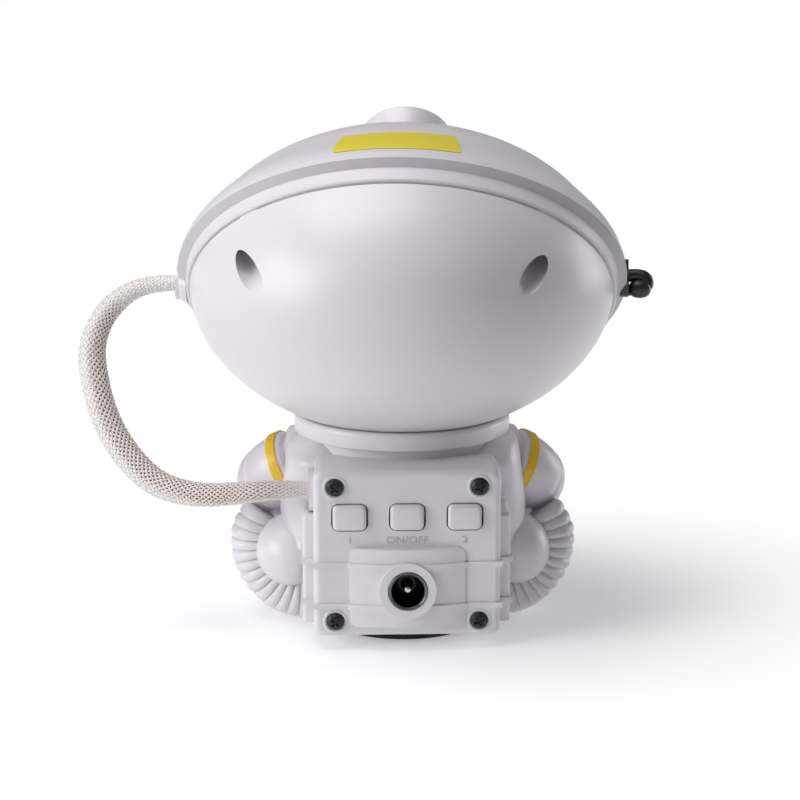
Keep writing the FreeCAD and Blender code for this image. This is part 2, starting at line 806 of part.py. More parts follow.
def bulged_block(proud, low, high, half_width):
    """A block whose rear face is part of an upright cylinder."""
    bend = (block_half_width ** 2 + block_bulge ** 2) / (2 * block_bulge)
    crest_y = -pack_rear - block_edge - block_bulge - proud
    round_face = cylinder(FreeCAD.Vector(0, crest_y + bend, low), along_z, bend, high - low)
    limits = block(FreeCAD.Vector(-half_width, crest_y - overrun, low),
                   FreeCAD.Vector(half_width, -pack_rear, high))
    return round_face.common(limits)


bulge = bulged_block(0, block_bottom, block_top, block_half_width)
bulge_corners = rounded_slab(block_half_width, block_bottom, block_top, pack_rear + head_radius, pack_rear,
                             block_round)
bulge = bulge.common(bulge_corners)
socket_face = pack_rear + block_edge + block_bulge + socket_boss_proud
socket_place = FreeCAD.Vector(0, -socket_face, socket_z)
socket_boss = cylinder(socket_place, along_y, socket_boss_radius, socket_face - pack_rear)
cover_belts = []
for level in (belt_low_z, belt_high_z):
    cover_belts.append(belt(pack_half_width, level, case_rear, pack_rear))
    low = level - belt_width / 2
    cover_belts.append(bulged_block(belt_proud, low, low + belt_width, block_half_width + belt_proud))
cover = cover.fuse([bulge] + cover_belts).fuse(socket_boss)
flange_room = rounded_slab(button_spacing + button_width, button_z - button_height, button_z + button_height,
                           pack_rear - cover_face, 0, button_round)
socket_hole = cylinder(socket_place - along_y * overrun, along_y, socket_radius + running_gap, reach)
cover = cover.cut([flange_room, socket_hole] + screw_bores)
button_places = (("mode", -button_spacing), ("power", 0), ("speed", button_spacing))


def button_prism(across, grow, rear, front):
    shape = rounded_slab(button_width / 2 + grow, button_z - button_height / 2 - grow,
                         button_z + button_height / 2 + grow, rear, front, button_round + grow)
    shape.translate(along_x * across)
    return shape


for name, across in button_places:
    cover = cover.cut(button_prism(across, button_gap, pack_rear + overrun, 0))
save("backpack_cover", cover.removeSplitter())

cover_screws = []
for x, z in post_places:
    head_place = FreeCAD.Vector(x, -pack_rear, z)
    head_ball = Part.makeSphere(cover_screw_head, head_place)
    head_top = head_place - along_y * screw_head_height
    head_bar = cylinder(head_top, along_y, cover_screw_head, screw_head_height)
    shank = cylinder(head_place, along_y, screw_radius, cover_screw_length)
    cover_screws.append(head_bar.common(head_ball).fuse(shank))
save("cover_screws", Part.makeCompound(cover_screws))

inner_face = pack_rear - cover_face - running_gap
switches = []
for name, across in button_places:
    cap = button_prism(across, 0, pack_rear + button_proud, inner_face)
    face_limit = -pack_rear - button_proud + running_gap
    cap_edges = [edge for edge in cap.Edges if edge.BoundBox.YMax < face_limit]
    cap = cap.makeFillet(button_round / 3, cap_edges)
    plate = button_prism(across, button_flange, inner_face, inner_face - button_flange_thickness)
    stem_place = FreeCAD.Vector(across, -inner_face, button_z)
    stem = cylinder(stem_place, along_y, button_stem_radius, button_flange_thickness + button_stem_length)
    save(name + "_button", cap.fuse([plate, stem]).removeSplitter())
    half = switch_size / 2
    body = block(FreeCAD.Vector(across - half, -board_face - switch_height, button_z - half),
                 FreeCAD.Vector(across + half, -board_face, button_z + half))
    plunger_place = FreeCAD.Vector(across, -plunger_tip, button_z)
    plunger = cylinder(plunger_place, along_y, plunger_radius, plunger_height)
    switches.append(body.fuse(plunger))
save("button_switches", Part.makeCompound(switches))
board = block(FreeCAD.Vector(-board_half_width, -board_face, board_bottom),
              FreeCAD.Vector(board_half_width, -pocket_floor, board_top))
save("control_board", board)

barrel_end = socket_face - socket_depth
save("power_socket_sleeve", tube(socket_place, along_y, socket_radius, socket_bore, socket_depth))
insulator_place = FreeCAD.Vector(0, -barrel_end, socket_z)
insulator = cylinder(insulator_place, along_y, socket_radius, barrel_end - board_face)
pin_place = FreeCAD.Vector(0, -barrel_end - socket_pin_length, socket_z)
pin = cylinder(pin_place, along_y, socket_pin_radius, socket_pin_length)
save("power_socket_core", insulator.fuse(pin))

# Legs: smooth hips, ribbed thighs bent outward, smooth shins and boots

hip = spheroid(hip_radius, hip_depth, origin)
hip.rotate(origin, along_x, 90)
hip.translate(FreeCAD.Vector(leg_x, -hip_back, leg_z))
above_ground = block(FreeCAD.Vector(-reach, -reach, pad_thickness), FreeCAD.Vector(reach, reach, reach))
hip = hip.cut([torso_solid, case, arm, arm_band, base_room]).common(above_ground)
hip = max(hip.Solids, key=lambda solid: solid.Volume)


def ribbed_leg():
    """A ruled loft through rings along a bent path, three rings to each rib."""
    profile = ((0.0, -rib_depth), (0.32, 0.0), (0.68, 0.0))
    turn = leg_end - leg_start
    rings = []
    for rib in range(rib_count):
        for share, grow in profile:
            along = (rib + share) / rib_count
            angle = math.radians(leg_start + turn * along)
            centre = FreeCAD.Vector(leg_x + leg_bend * math.cos(angle), -leg_rear + leg_rise * along,
                                    leg_z + leg_bend * math.sin(angle))
            heading = FreeCAD.Vector(-math.sin(angle), 0, math.cos(angle))
            rings.append(Part.Wire([Part.makeCircle(leg_radius + grow, centre, heading)]))
    return Part.makeLoft(rings, True, True)


leg = ribbed_leg().cut([torso_solid, hip, arm, case, base_room])
leg = max(leg.Solids, key=lambda solid: solid.Volume)

shin_places = []
for across, along, up, wide in shin_shares:
    along_to = shin_y + along * leg_radius
    centre = FreeCAD.Vector(shin_x + across * leg_radius, along_to, shin_z + up * leg_radius)
    shin_places.append((centre, wide * leg_radius))
shin = limb(shin_places, [FreeCAD.Vector(*heading) for heading in shin_heading_shares])
boot_x = shin_places[-1][0].x
boot_y = shin_places[-1][0].y - boot_radius
boot_places = [(FreeCAD.Vector(boot_x, boot_y + far * boot_length, boot_rise), wide * boot_radius)
               for far, wide in boot_shares]
boot = limb(boot_places, [along_y] * len(boot_places))
sole_radius = boot_radius + sole_proud
heel_y = boot_y + boot_radius - sole_proud
toe_y = boot_y + boot_length - boot_radius
sole_heel = cylinder(FreeCAD.Vector(boot_x, heel_y, 0), along_z, sole_radius, sole_thickness)
sole_toe = cylinder(FreeCAD.Vector(boot_x, toe_y, 0), along_z, sole_radius, sole_thickness)
sole_middle = block(FreeCAD.Vector(boot_x - sole_radius, heel_y, 0),
                    FreeCAD.Vector(boot_x + sole_radius, toe_y, sole_thickness))
sole = sole_heel.fuse([sole_toe, sole_middle]).removeSplitter()
above_sole = block(FreeCAD.Vector(-reach, -reach, sole_thickness),
                   FreeCAD.Vector(reach, 2 * reach, reach))
boot = boot.common(above_sole)
shin = shin.cut([torso_solid, arm, leg, glove, boot]).common(above_sole)
shin = max(shin.Solids, key=lambda solid: solid.Volume)
for side, part in (("right", lambda shape: shape), ("left", mirrored)):
    save("hip_cap_" + side, part(hip))
    save("ribbed_leg_" + side, part(leg))
    save("shin_" + side, part(shin))
    save("boot_" + side, part(boot.fuse(sole)))

# Chest panel on the front of the torso

panel = rounded_slab(chest_half_width, chest_bottom, chest_top, 0, -chest_front, chest_round)
front_edges = [edge for edge in panel.Edges if edge.BoundBox.YMin > chest_front - running_gap]
panel = panel.makeFillet(chest_round / 2, front_edges).cut(torso_solid)
save("chest_panel", max(panel.Solids, key=lambda solid: solid.CenterOfMass.y))

# Glands and the braided hose between them

head_gland = cylinder(head_gland_place, along_x, gland_radius, 3 * wall)
head_rim_plate = Part.makeCone(hose_radius + gland_flange / 2, gland_radius + gland_flange,
                               gland_flange + wall, head_gland_place, along_x)
head_gland = head_gland.fuse(head_rim_plate).cut([front_shell, trim_ring])
save_turned("helmet_hose_gland", max(head_gland.Solids, key=lambda solid: solid.Volume))
pack_gland_x = pack_half_width + gland_flange
pack_gland = cylinder(FreeCAD.Vector(-pack_gland_x, -pack_gland_y, pack_gland_z), along_x, gland_radius,
                      case_wall + gland_flange)
pack_flange = cylinder(FreeCAD.Vector(-pack_gland_x, -pack_gland_y, pack_gland_z), along_x,
                       gland_radius + gland_flange, gland_flange)
save("backpack_hose_gland", pack_gland.fuse(pack_flange).removeSplitter())

# the route as it was drawn, from the helmet's gland to the backpack's
hose_points = (
    (-79.9, 9.6, 117.5),
    (-92.5, 10.48, 117.5),
    (-105.4, 9.3, 108.1),
    (-110.9, 5.3, 95.4),
    (-109.0, -0.1, 82.3),
    (-104.8, -5.9, 69.8),
    (-97.2, -12.6, 59.1),
    (-86.8, -20.3, 50.8),
    (-73.1, -27.6, 48.9),
    (-58.7, -33.8, 50.9),
    (-48.0, -40.5, 54.0),
    (-33.5, -40.5, 54.0),
)


def hung_between(points, start, end):
    """The drawn route, moved at each end to where the glands are and in between by its share of both."""
    drawn = [FreeCAD.Vector(*point) for point in points]
    last = len(drawn) - 1
    start_move = start - drawn[0]
    end_move = end - drawn[last]
    return [place + start_move * (1 - at / last) + end_move * (at / last) for at, place in enumerate(drawn)]


def hose(points, radius):
    """Straight runs joined by tangent arcs, with a round section carried along them."""
    edges = []
    start = points[0]
    for before, corner, after in zip(points, points[1:], points[2:]):
        back = (before - corner)
        ahead = (after - corner)
        shorter = min(back.Length, ahead.Length)
        half_turn = (math.pi - back.getAngle(ahead)) / 2
        trim_length = hose_trim_share * shorter
        print("hose arc radius", round(trim_length / math.tan(half_turn), 1))
        arc_start = corner + back.normalize() * trim_length
        arc_end = corner + ahead.normalize() * trim_length
        inward = (back + ahead).normalize()
        bend = trim_length / math.tan(half_turn)
        middle = corner + inward * (bend / math.cos(half_turn) - bend)
        edges.append(Part.LineSegment(start, arc_start).toShape())
        edges.append(Part.Arc(arc_start, middle, arc_end).toShape())
        start = arc_end
    edges.append(Part.LineSegment(start, points[-1]).toShape())
    path = Part.Wire(edges)
    ring = Part.Wire([Part.makeCircle(radius, points[0], points[1] - points[0])])
    solid = path.makePipeShell([ring], True, False)
    print("hose length", round(path.Length, 1))
    print("hose volume share", round(solid.Volume / (math.pi * radius ** 2 * path.Length), 4))
    return solid


turn = FreeCAD.Rotation(along_z, head_turn)
head_end = turn.multVec(head_gland_place)
pack_end = FreeCAD.Vector(-pack_gland_x, -pack_gland_y, pack_gland_z)
save("braided_hose", hose(hung_between(hose_points, head_end, pack_end), hose_radius))

# Microphone: a disc against the helmet with a fin and a ledge, a stub that bends down, and a round tip

mic_place = FreeCAD.Vector(mic_disc_x, mic_y, mic_z)
mic_disc = cylinder(mic_place - along_x * 3 * wall, along_x, mic_disc_radius, 3 * wall)
fin_z = mic_z + mic_disc_radius - mic_fin_width
fin_low = FreeCAD.Vector(mic_disc_x - 2 * wall, mic_y - mic_fin_width / 2, fin_z)
fin = block(fin_low, fin_low + FreeCAD.Vector(2 * wall, mic_fin_width, mic_fin_height + mic_fin_width))
ledge_z = mic_z - mic_ledge_drop - mic_ledge_thickness
ledge_low = FreeCAD.Vector(mic_disc_x - 2 * wall, mic_y + mic_stub_radius, ledge_z)
ledge_size = FreeCAD.Vector(2 * wall + mic_ledge_out, mic_fin_width, mic_ledge_thickness)
ledge = block(ledge_low, ledge_low + ledge_size)
mic_disc = mic_disc.fuse([fin, ledge]).cut([front_shell, trim_ring, outer_head])
save_turned("mic_mount", max(mic_disc.Solids, key=lambda solid: solid.Volume))
stub_place = mic_place + along_z * mic_stub_rise
mic_stub = cylinder(stub_place, along_x, mic_stub_radius, mic_stub_length)
bend_centre = stub_place + FreeCAD.Vector(mic_stub_length, 0, -mic_bend)
elbow = Part.makeTorus(mic_bend, mic_stub_radius, bend_centre, along_y)
elbow_reach = mic_bend + mic_stub_radius + overrun
elbow_room = block(bend_centre - along_y * elbow_reach, bend_centre + FreeCAD.Vector(1, 1, 1) * elbow_reach)
mic_fall_place = bend_centre + along_x * mic_bend
mic_drop_bar = cylinder(mic_fall_place - along_z * mic_fall, along_z, mic_stub_radius, mic_fall)
mic_boom = mic_stub.fuse([elbow.common(elbow_room), mic_drop_bar]).removeSplitter()
save_turned("mic_boom", mic_boom)
mic_tip = spheroid(mic_tip_radius, mic_tip_half_height,
                   mic_place + FreeCAD.Vector(mic_tip_out, -mic_tip_back, -mic_tip_drop))
save_turned("mic_tip", mic_tip.cut([mic_boom, mic_disc]))
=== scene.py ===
import bmesh
import bpy
import math
import numpy as np
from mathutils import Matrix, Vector


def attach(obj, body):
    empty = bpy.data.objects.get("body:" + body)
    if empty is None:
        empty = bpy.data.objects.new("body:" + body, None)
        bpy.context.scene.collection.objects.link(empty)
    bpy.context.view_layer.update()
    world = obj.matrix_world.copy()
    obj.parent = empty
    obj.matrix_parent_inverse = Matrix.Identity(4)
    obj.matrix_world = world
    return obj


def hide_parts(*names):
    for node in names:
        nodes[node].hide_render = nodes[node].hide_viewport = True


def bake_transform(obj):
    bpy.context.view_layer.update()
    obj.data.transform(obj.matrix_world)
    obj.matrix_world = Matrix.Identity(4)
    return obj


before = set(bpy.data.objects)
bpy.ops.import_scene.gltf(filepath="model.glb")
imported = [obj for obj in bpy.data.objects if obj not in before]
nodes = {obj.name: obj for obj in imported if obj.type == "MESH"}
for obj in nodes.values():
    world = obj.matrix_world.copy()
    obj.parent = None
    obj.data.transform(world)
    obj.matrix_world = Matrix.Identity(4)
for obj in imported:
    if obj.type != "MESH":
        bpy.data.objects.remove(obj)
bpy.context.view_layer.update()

# The view. A long lens stands behind the figure, a little above it and a little to its left,
# and the whole figure with its hose fills the middle of a square picture.

aim = Vector((-0.0007, 0.0, 0.0763))
azimuth = math.radians(-2.0)
height = math.radians(12.3)
view_distance = 0.9
away = Vector((math.sin(azimuth) * math.cos(height), -math.cos(azimuth) * math.cos(height), math.sin(height)))
lens = bpy.data.cameras.new("long_lens")
lens.lens = 113.4
lens.sensor_width = 36.0
lens.clip_start = 0.01
lens.clip_end = 20.0
camera = bpy.data.objects.new("camera", lens)
camera.location = aim + view_distance * away
camera.rotation_euler = (-away).to_track_quat("-Z", "Y").to_euler()
bpy.context.collection.objects.link(camera)
bpy.context.scene.camera = camera
bpy.context.scene.view_settings.view_transform = "Standard"


def add_node(tree, kind, values=None, operation=None):
    """A new shader node, with its operation if it has one and the values of its inputs."""
    made = tree.nodes.new(kind)
    if operation:
        made.operation = operation
    for entry, value in (values or {}).items():
        made.inputs[entry].default_value = value
    return made


def join(tree, *links):
    """Links nodes: each row is a node, its output, the next node and that one's input."""
    for source, output, target, entry in links:
        tree.links.new(source.outputs[output], target.inputs[entry])


def shown_to(tree, rays, seen, plain, out):
    """Gives the named kinds of ray one shader and all other light the plain one."""
    path = add_node(tree, "ShaderNodeLightPath")
    mix = add_node(tree, "ShaderNodeMixShader")
    weight = path.outputs[rays[0]]
    for ray in rays[1:]:
        either = add_node(tree, "ShaderNodeMath", operation="MAXIMUM")
        tree.links.new(weight, either.inputs[0])
        tree.links.new(path.outputs[ray], either.inputs[1])
        weight = either.outputs[0]
    tree.links.new(weight, mix.inputs["Fac"])
    join(tree, (plain, 0, mix, 1), (seen, 0, mix, 2), (mix, 0, out, "Surface"))


def turns(count):
    """Even steps round a full circle, in radians."""
    return np.linspace(0.0, 2 * math.pi, count, endpoint=False)


# The table. A wide pale sweep of card keeps the soft shadow that the figure throws to its right
# and fades to plain white with distance, to the camera and in reflections. To other light it is
# plain paper, which glows a little near the figure and so lifts its underside.

table_half = 6.0
fade_start = 0.085
fade_end = 0.22
table_mesh = bpy.data.meshes.new("table")
table_mesh.from_pydata(
    [(-table_half, -table_half, 0), (table_half, -table_half, 0), (table_half, table_half, 0),
     (-table_half, table_half, 0)], [], [(0, 1, 2, 3)])
table = bpy.data.objects.new("table", table_mesh)
bpy.context.collection.objects.link(table)
card = bpy.data.materials.new("white_card")
card.use_nodes = True
card_tree = card.node_tree
card_tree.nodes.clear()
card_out = add_node(card_tree, "ShaderNodeOutputMaterial")
card_place = add_node(card_tree, "ShaderNodeTexCoord")
card_far = add_node(card_tree, "ShaderNodeVectorMath", operation="LENGTH")
card_fade = add_node(card_tree, "ShaderNodeMapRange", {"From Min": fade_start, "From Max": fade_end})
card_fade.interpolation_type = "SMOOTHSTEP"
card_paper = add_node(card_tree, "ShaderNodeBsdfDiffuse", {"Color": (0.90, 0.90, 0.91, 1)})
card_lift = add_node(card_tree, "ShaderNodeEmission", {"Strength": 0.17})
card_near = add_node(card_tree, "ShaderNodeAddShader")
card_reach = add_node(card_tree, "ShaderNodeMixShader")
card_seen = add_node(card_tree, "ShaderNodeBsdfDiffuse", {"Color": (0.93, 0.93, 0.935, 1)})
card_glow = add_node(card_tree, "ShaderNodeEmission", {"Strength": 0.27})
card_bright = add_node(card_tree, "ShaderNodeAddShader")
card_white = add_node(card_tree, "ShaderNodeEmission", {"Strength": 1.0})
card_sweep = add_node(card_tree, "ShaderNodeMixShader")
join(card_tree,
     (card_place, "Object", card_far, 0), (card_far, "Value", card_fade, "Value"),
     (card_paper, 0, card_near, 0), (card_lift, 0, card_near, 1), (card_fade, "Result", card_reach, "Fac"),
     (card_near, 0, card_reach, 1), (card_paper, 0, card_reach, 2),
     (card_seen, 0, card_bright, 0), (card_glow, 0, card_bright, 1), (card_fade, "Result", card_sweep, "Fac"),
     (card_bright, 0, card_sweep, 1), (card_white, 0, card_sweep, 2))
shown_to(card_tree, ("Is Camera Ray", "Is Glossy Ray", "Is Transmission Ray"), card_sweep, card_reach, card_out)
table_mesh.materials.append(card)

# The studio. A white room seen as pure white, a soft window low on the left, a larger one
# overhead and a weak one from the right, beyond the figure, that lifts its far edge.

room = bpy.data.worlds.new("studio")
bpy.context.scene.world = room
room.use_nodes = True
room_tree = room.node_tree
room_tree.nodes.clear()
room_out = add_node(room_tree, "ShaderNodeOutputWorld")
room_light = add_node(room_tree, "ShaderNodeBackground", {"Color": (0.97, 0.96, 1.0, 1), "Strength": 0.13})
room_white = add_node(room_tree, "ShaderNodeBackground", {"Strength": 1.0})
shown_to(room_tree, ("Is Camera Ray", "Is Transmission Ray"), room_white, room_light, room_out)


def soft_window(name, place, size, power, colour):
    """A square light panel at a place, turned to face the figure."""
    panel = bpy.data.lights.new(name, "AREA")
    panel.shape = "SQUARE"
    panel.size = size
    panel.energy = power
    panel.color = colour
    holder = bpy.data.objects.new(name, panel)
    holder.location = place
    turn = Vector((0, 0, 0.08)) - Vector(place)
    holder.rotation_euler = turn.to_track_quat("-Z", "Y").to_euler()
    bpy.context.collection.objects.link(holder)


soft_window("window_left", (-1.2, -0.54, 0.46), 0.8, 10.3, (1.0, 1.0, 1.0))
soft_window("window_top", (-0.32, -0.05, 1.3), 0.9, 9.6, (1.0, 1.0, 1.0))
soft_window("window_right", (1.2, 0.6, 0.3), 0.6, 4.0, (0.98, 0.97, 1.0))

# The braided hose. An expandable sleeve of white nylon, laid in flat bundles that cross over and
# under each other, is drawn over a brownish lining. It opens on the inside of the bend, where
# the lining shows through and tints the strands.


def curve_mesh(curve):
    """The mesh that a curve or a text makes, and its points."""
    holder = bpy.data.objects.new(curve.name, curve)
    bpy.context.collection.objects.link(holder)
    bpy.context.view_layer.update()
    mesh = bpy.data.meshes.new_from_object(holder)
    bpy.data.objects.remove(holder)
    points = np.empty(3 * len(mesh.vertices))
    mesh.vertices.foreach_get("co", points)
    return mesh, points.reshape(-1, 3)


hose_points = (
    (-0.0799, 0.0096, 0.1175),
    (-0.0925, 0.01048, 0.1175),
    (-0.1054, 0.0093, 0.1081),
    (-0.1109, 0.0053, 0.0954),
    (-0.1090, -0.0001, 0.0823),
    (-0.1048, -0.0059, 0.0698),
    (-0.0972, -0.0126, 0.0591),
    (-0.0868, -0.0203, 0.0508),
    (-0.0731, -0.0276, 0.0489),
    (-0.0587, -0.0338, 0.0509),
    (-0.0480, -0.0405, 0.0540),
    (-0.0335, -0.0405, 0.0540),
)
route = bpy.data.curves.new("hose_route", "CURVE")
route.dimensions = "3D"
route.resolution_u = 24
spline = route.splines.new("NURBS")
spline.points.add(len(hose_points) - 1)
spline.points.foreach_set("co", np.insert(np.array(hose_points), 3, 1.0, axis=1).ravel())
spline.order_u = 3
spline.use_endpoint_u = True
route_line = curve_mesh(route)[1]


def along(line, count):
    """The same line as evenly spaced points, its tangents, and two sides square to them.

    Distance is summed along the line and each coordinate is read off at even steps. The first
    side is the direction square to the bend's own plane, so the frame never twists.
    """
    steps = np.linalg.norm(np.diff(line, axis=0), axis=1)
    far = np.concatenate([[0.0], np.cumsum(steps)])
    even = np.linspace(0.0, far[-1], count)
    place = np.stack([np.interp(even, far, line[:, axis]) for axis in range(3)], axis=1)
    tangent = np.gradient(place, axis=0)
    tangent /= np.linalg.norm(tangent, axis=1)[:, None]
    square = np.array([0.0, -0.816, 0.577])
    side = square - (tangent @ square)[:, None] * tangent
    side /= np.linalg.norm(side, axis=1)[:, None]
    return even, place, side, np.cross(tangent, side)


def grid_faces(rows, columns, close_columns=False, close_rows=False):
    """Quads between neighbouring points of a grid stored row by row, joined round where closed."""
    down = np.arange(rows if close_rows else rows - 1)
    across = np.arange(columns if close_columns else columns - 1)
    row, column = np.meshgrid(down, across, indexing="ij")
    next_row = (row + 1) % rows
    next_column = (column + 1) % columns
    corners = [row * columns + column, row * columns + next_column, next_row * columns + next_column,
               next_row * columns + column]
    return np.stack(corners, axis=-1).reshape(-1, 4)


def copies(one, size, count):
    """The faces of one form, repeated for forms whose points follow each other, size points each."""
    return np.concatenate([one + size * at for at in range(count)])


def surface(name, points, faces, material, smooth=True, inside=None):
    """A mesh object at the origin from arrays of points and quads or triangles.

    The sum of corner a . (corner b x corner c), taken from a point inside the form, is its volume,
    and where it comes out negative the faces are turned to point outwards.
    """
    points = np.asarray(points, dtype=float).reshape(-1, 3)
    faces = np.asarray(faces)
    middle = points.mean(axis=0) if inside is None else np.array(inside)
    corners = points[faces] - middle
    volume = np.sum(corners[:, 0] * np.cross(corners[:, 1], corners[:, 2]))
    if faces.shape[1] == 4:
        volume += np.sum(corners[:, 0] * np.cross(corners[:, 2], corners[:, 3]))
    if volume < 0:
        faces = faces[:, ::-1]
    mesh = bpy.data.meshes.new(name)
    mesh.from_pydata(points.tolist(), [], faces.tolist())
    mesh.polygons.foreach_set("use_smooth", np.full(len(mesh.polygons), smooth))
    mesh.materials.append(material)
    mesh.update()
    piece = bpy.data.objects.new(name, mesh)
    bpy.context.collection.objects.link(piece)
    return piece


def bands(centres, outward, across, half_width, half_thickness, sides):
    """Flat oval bands about many centre lines at once.

    A point is centre + across (half width) cos turn + outward (half thickness) sin turn. The half
    width is given at every step, so a band can spread and close the holes beside it.
    """
    turn = turns(sides)
    wide = across[..., None, :] * (half_width[..., None] * np.cos(turn))[..., None]
    thick = outward[..., None, :] * (half_thickness * np.sin(turn))[:, None]
    points = centres[..., None, :] + wide + thick
    lines, steps = centres.shape[:2]
    one = grid_faces(steps, sides, close_columns=True)
    return points.reshape(-1, 3), copies(one, steps * sides, lines)


def soft_step(value, low, high):
    """Zero below low, one above high, and 3 t t - 2 t t t between them."""
    share = np.clip((value - low) / (high - low), 0.0, 1.0)
    return share * share * (3.0 - 2.0 * share)


def nylon_material(name, colour, rough, blush=None):
    """Glossy extruded nylon: its colour pales and darkens a little along it, under a thin gloss.

    With a blush, the mesh's own openness attribute turns it by up to a third towards that colour.
    """
    material = bpy.data.materials.new(name)
    material.use_nodes = True
    tree = material.node_tree
    shader = tree.nodes["Principled BSDF"]
    place = add_node(tree, "ShaderNodeTexCoord")
    cloud = add_node(tree, "ShaderNodeTexNoise", {"Scale": 260.0})
    tone = add_node(tree, "ShaderNodeValToRGB")
    tone.color_ramp.elements[0].color = (*[0.90 * part for part in colour], 1)
    tone.color_ramp.elements[1].color = (*[min(1.06 * part, 1.0) for part in colour], 1)
    join(tree, (place, "Object", cloud, "Vector"), (cloud, "Fac", tone, "Fac"),
         (tone, "Color", shader, "Base Color"))
    shader.inputs["Roughness"].default_value = rough
    shader.inputs["Coat Weight"].default_value = 0.25
    shader.inputs["Coat Roughness"].default_value = 0.2
    if blush:
        seen = add_node(tree, "ShaderNodeAttribute")
        seen.attribute_name = "openness"
        weight = add_node(tree, "ShaderNodeMath", {1: 0.35}, "MULTIPLY")
        tint = add_node(tree, "ShaderNodeMix")
        tint.data_type = "RGBA"
        tint.inputs["B"].default_value = (*blush, 1)
        join(tree, (seen, "Fac", weight, 0), (weight, 0, tint, "Factor"), (tone, "Color", tint, "A"),
             (tint, "Result", shader, "Base Color"))
    return material


hose_radius = 0.0042
bundles = 16
braid_pitch = 0.0375
braid_inset = 0.0003
weave_rise = 0.00016
strand_half = 0.00017
strand_sides = 6
hose_steps = 420
even, spine, side, other = along(route_line, hose_steps)
hose_length = float(even[-1])
part_way = even / hose_length
swell = np.interp(part_way, (0.0, 0.07, 0.16, 0.30, 0.50, 0.62, 0.74, 0.88, 0.96, 1.0),
                  (0.68, 0.74, 0.98, 1.20, 1.22, 1.16, 1.02, 0.90, 0.76, 0.70))
loop_centre = np.array([-0.068, -0.006, 0.088])
rear_view = -0.03
straight_view = np.array([0.0, -0.06, 0.02])
inward = loop_centre - spine
inward[:, 1] = rear_view
inward += soft_step(part_way, 0.70, 0.80)[:, None] * (straight_view - inward)
inward /= np.linalg.norm(inward, axis=1)[:, None]
lines = []
for hand in (-1, 1):
    turn = 2 * math.pi * (np.arange(bundles)[:, None] / bundles + hand * even / braid_pitch)
    rise = hand * weave_rise * np.cos(2 * math.pi * bundles * even / braid_pitch)
    reach = hose_radius * swell - braid_inset + rise * np.ones_like(turn)
    lines.append(spine + reach[..., None] * (side * np.cos(turn)[..., None] + other * np.sin(turn)[..., None]))
strands = np.concatenate(lines)
heading = np.gradient(strands, axis=1)
heading /= np.linalg.norm(heading, axis=2)[..., None]
outward = strands - spine
outward -= np.sum(outward * heading, axis=2)[..., None] * heading
outward /= np.linalg.norm(outward, axis=2)[..., None]
facing = np.sum(outward * inward, axis=2)
opened = soft_step(facing, 0.10, 0.62) * soft_step(part_way, 0.09, 0.20)
opened *= 1 - 0.5 * soft_step(part_way, 0.90, 1.0)
lay = np.arctan(2 * math.pi * hose_radius * swell / braid_pitch)
spread = math.pi * hose_radius * swell / bundles * np.cos(lay)
half_width = spread * (1.05 - 0.48 * opened)
sleeve_points, sleeve_faces = bands(strands, outward, np.cross(heading, outward), half_width, strand_half,
                                    strand_sides)
sleeve = surface("braided_sleeve", sleeve_points, sleeve_faces,
                 nylon_material("white_nylon", (0.83, 0.80, 0.78), 0.4, blush=(0.66, 0.50, 0.44)))
openness = sleeve.data.attributes.new("openness", "FLOAT", "POINT")
openness.data.foreach_set("value", np.repeat(opened.ravel(), strand_sides))

wire_reach = 0.0017
wire_radius = 0.00085
wire_sides = 10
coarse = 4
coarse_steps = hose_steps // coarse
for name, start, colour in (("red", 0.3, (0.34, 0.10, 0.09)), ("black", 1.3, (0.03, 0.03, 0.035)),
                            ("brown", 2.2, (0.26, 0.15, 0.12))):
    way = (start + 0.4 * np.sin(2 * math.pi * even / 0.05))[:, None]
    line = spine + wire_reach * swell[:, None] * (side * np.cos(way) + other * np.sin(way))
    wire_points, faces = bands(line[None, ::coarse], side[None, ::coarse], other[None, ::coarse],
                               np.full((1, coarse_steps), wire_radius), wire_radius, wire_sides)
    wire = surface("hose_wire_" + name, wire_points, faces, nylon_material(name + "_wire", colour, 0.4))
    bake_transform(wire)
lining_inset = 0.00075
lining_sides = 20
turn = turns(lining_sides)[:, None]
lining_reach = (hose_radius * swell - lining_inset)[::coarse, None, None]
lining_points = spine[::coarse, None] + lining_reach * (
    side[::coarse, None] * np.cos(turn) + other[::coarse, None] * np.sin(turn))
lining = surface("hose_lining", lining_points, grid_faces(coarse_steps, lining_sides, close_columns=True),
                 nylon_material("lining_brown", (0.43, 0.295, 0.265), 0.7))
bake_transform(lining)
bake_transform(sleeve)
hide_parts("braided_hose")

# The plastics. The white housing is satin moulded ABS with a very fine grain, a slight change of
# tone over its thickness, and a thin natural gloss. One group gives the grain to every plastic.

grain = bpy.data.node_groups.new("moulded_grain", "ShaderNodeTree")
for label, kind, direction in (
        ("Colour", "NodeSocketColor", "INPUT"), ("Roughness", "NodeSocketFloat", "INPUT"),
        ("Grain Scale", "NodeSocketFloat", "INPUT"), ("Grain Depth", "NodeSocketFloat", "INPUT"),
        ("Mottle", "NodeSocketFloat", "INPUT"), ("Colour", "NodeSocketColor", "OUTPUT"),
        ("Roughness", "NodeSocketFloat", "OUTPUT"), ("Normal", "NodeSocketVector", "OUTPUT")):
    grain.interface.new_socket(name=label, in_out=direction, socket_type=kind)
grain_in = add_node(grain, "NodeGroupInput")
grain_out = add_node(grain, "NodeGroupOutput")
grain_place = add_node(grain, "ShaderNodeTexCoord")
grain_fine = add_node(grain, "ShaderNodeTexNoise", {"Detail": 3.0})
grain_bump = add_node(grain, "ShaderNodeBump", {"Distance": 0.0001})
grain_wide = add_node(grain, "ShaderNodeTexNoise", {"Scale": 22.0, "Detail": 4.0})
grain_span = add_node(grain, "ShaderNodeMapRange", {"To Min": -1.0})
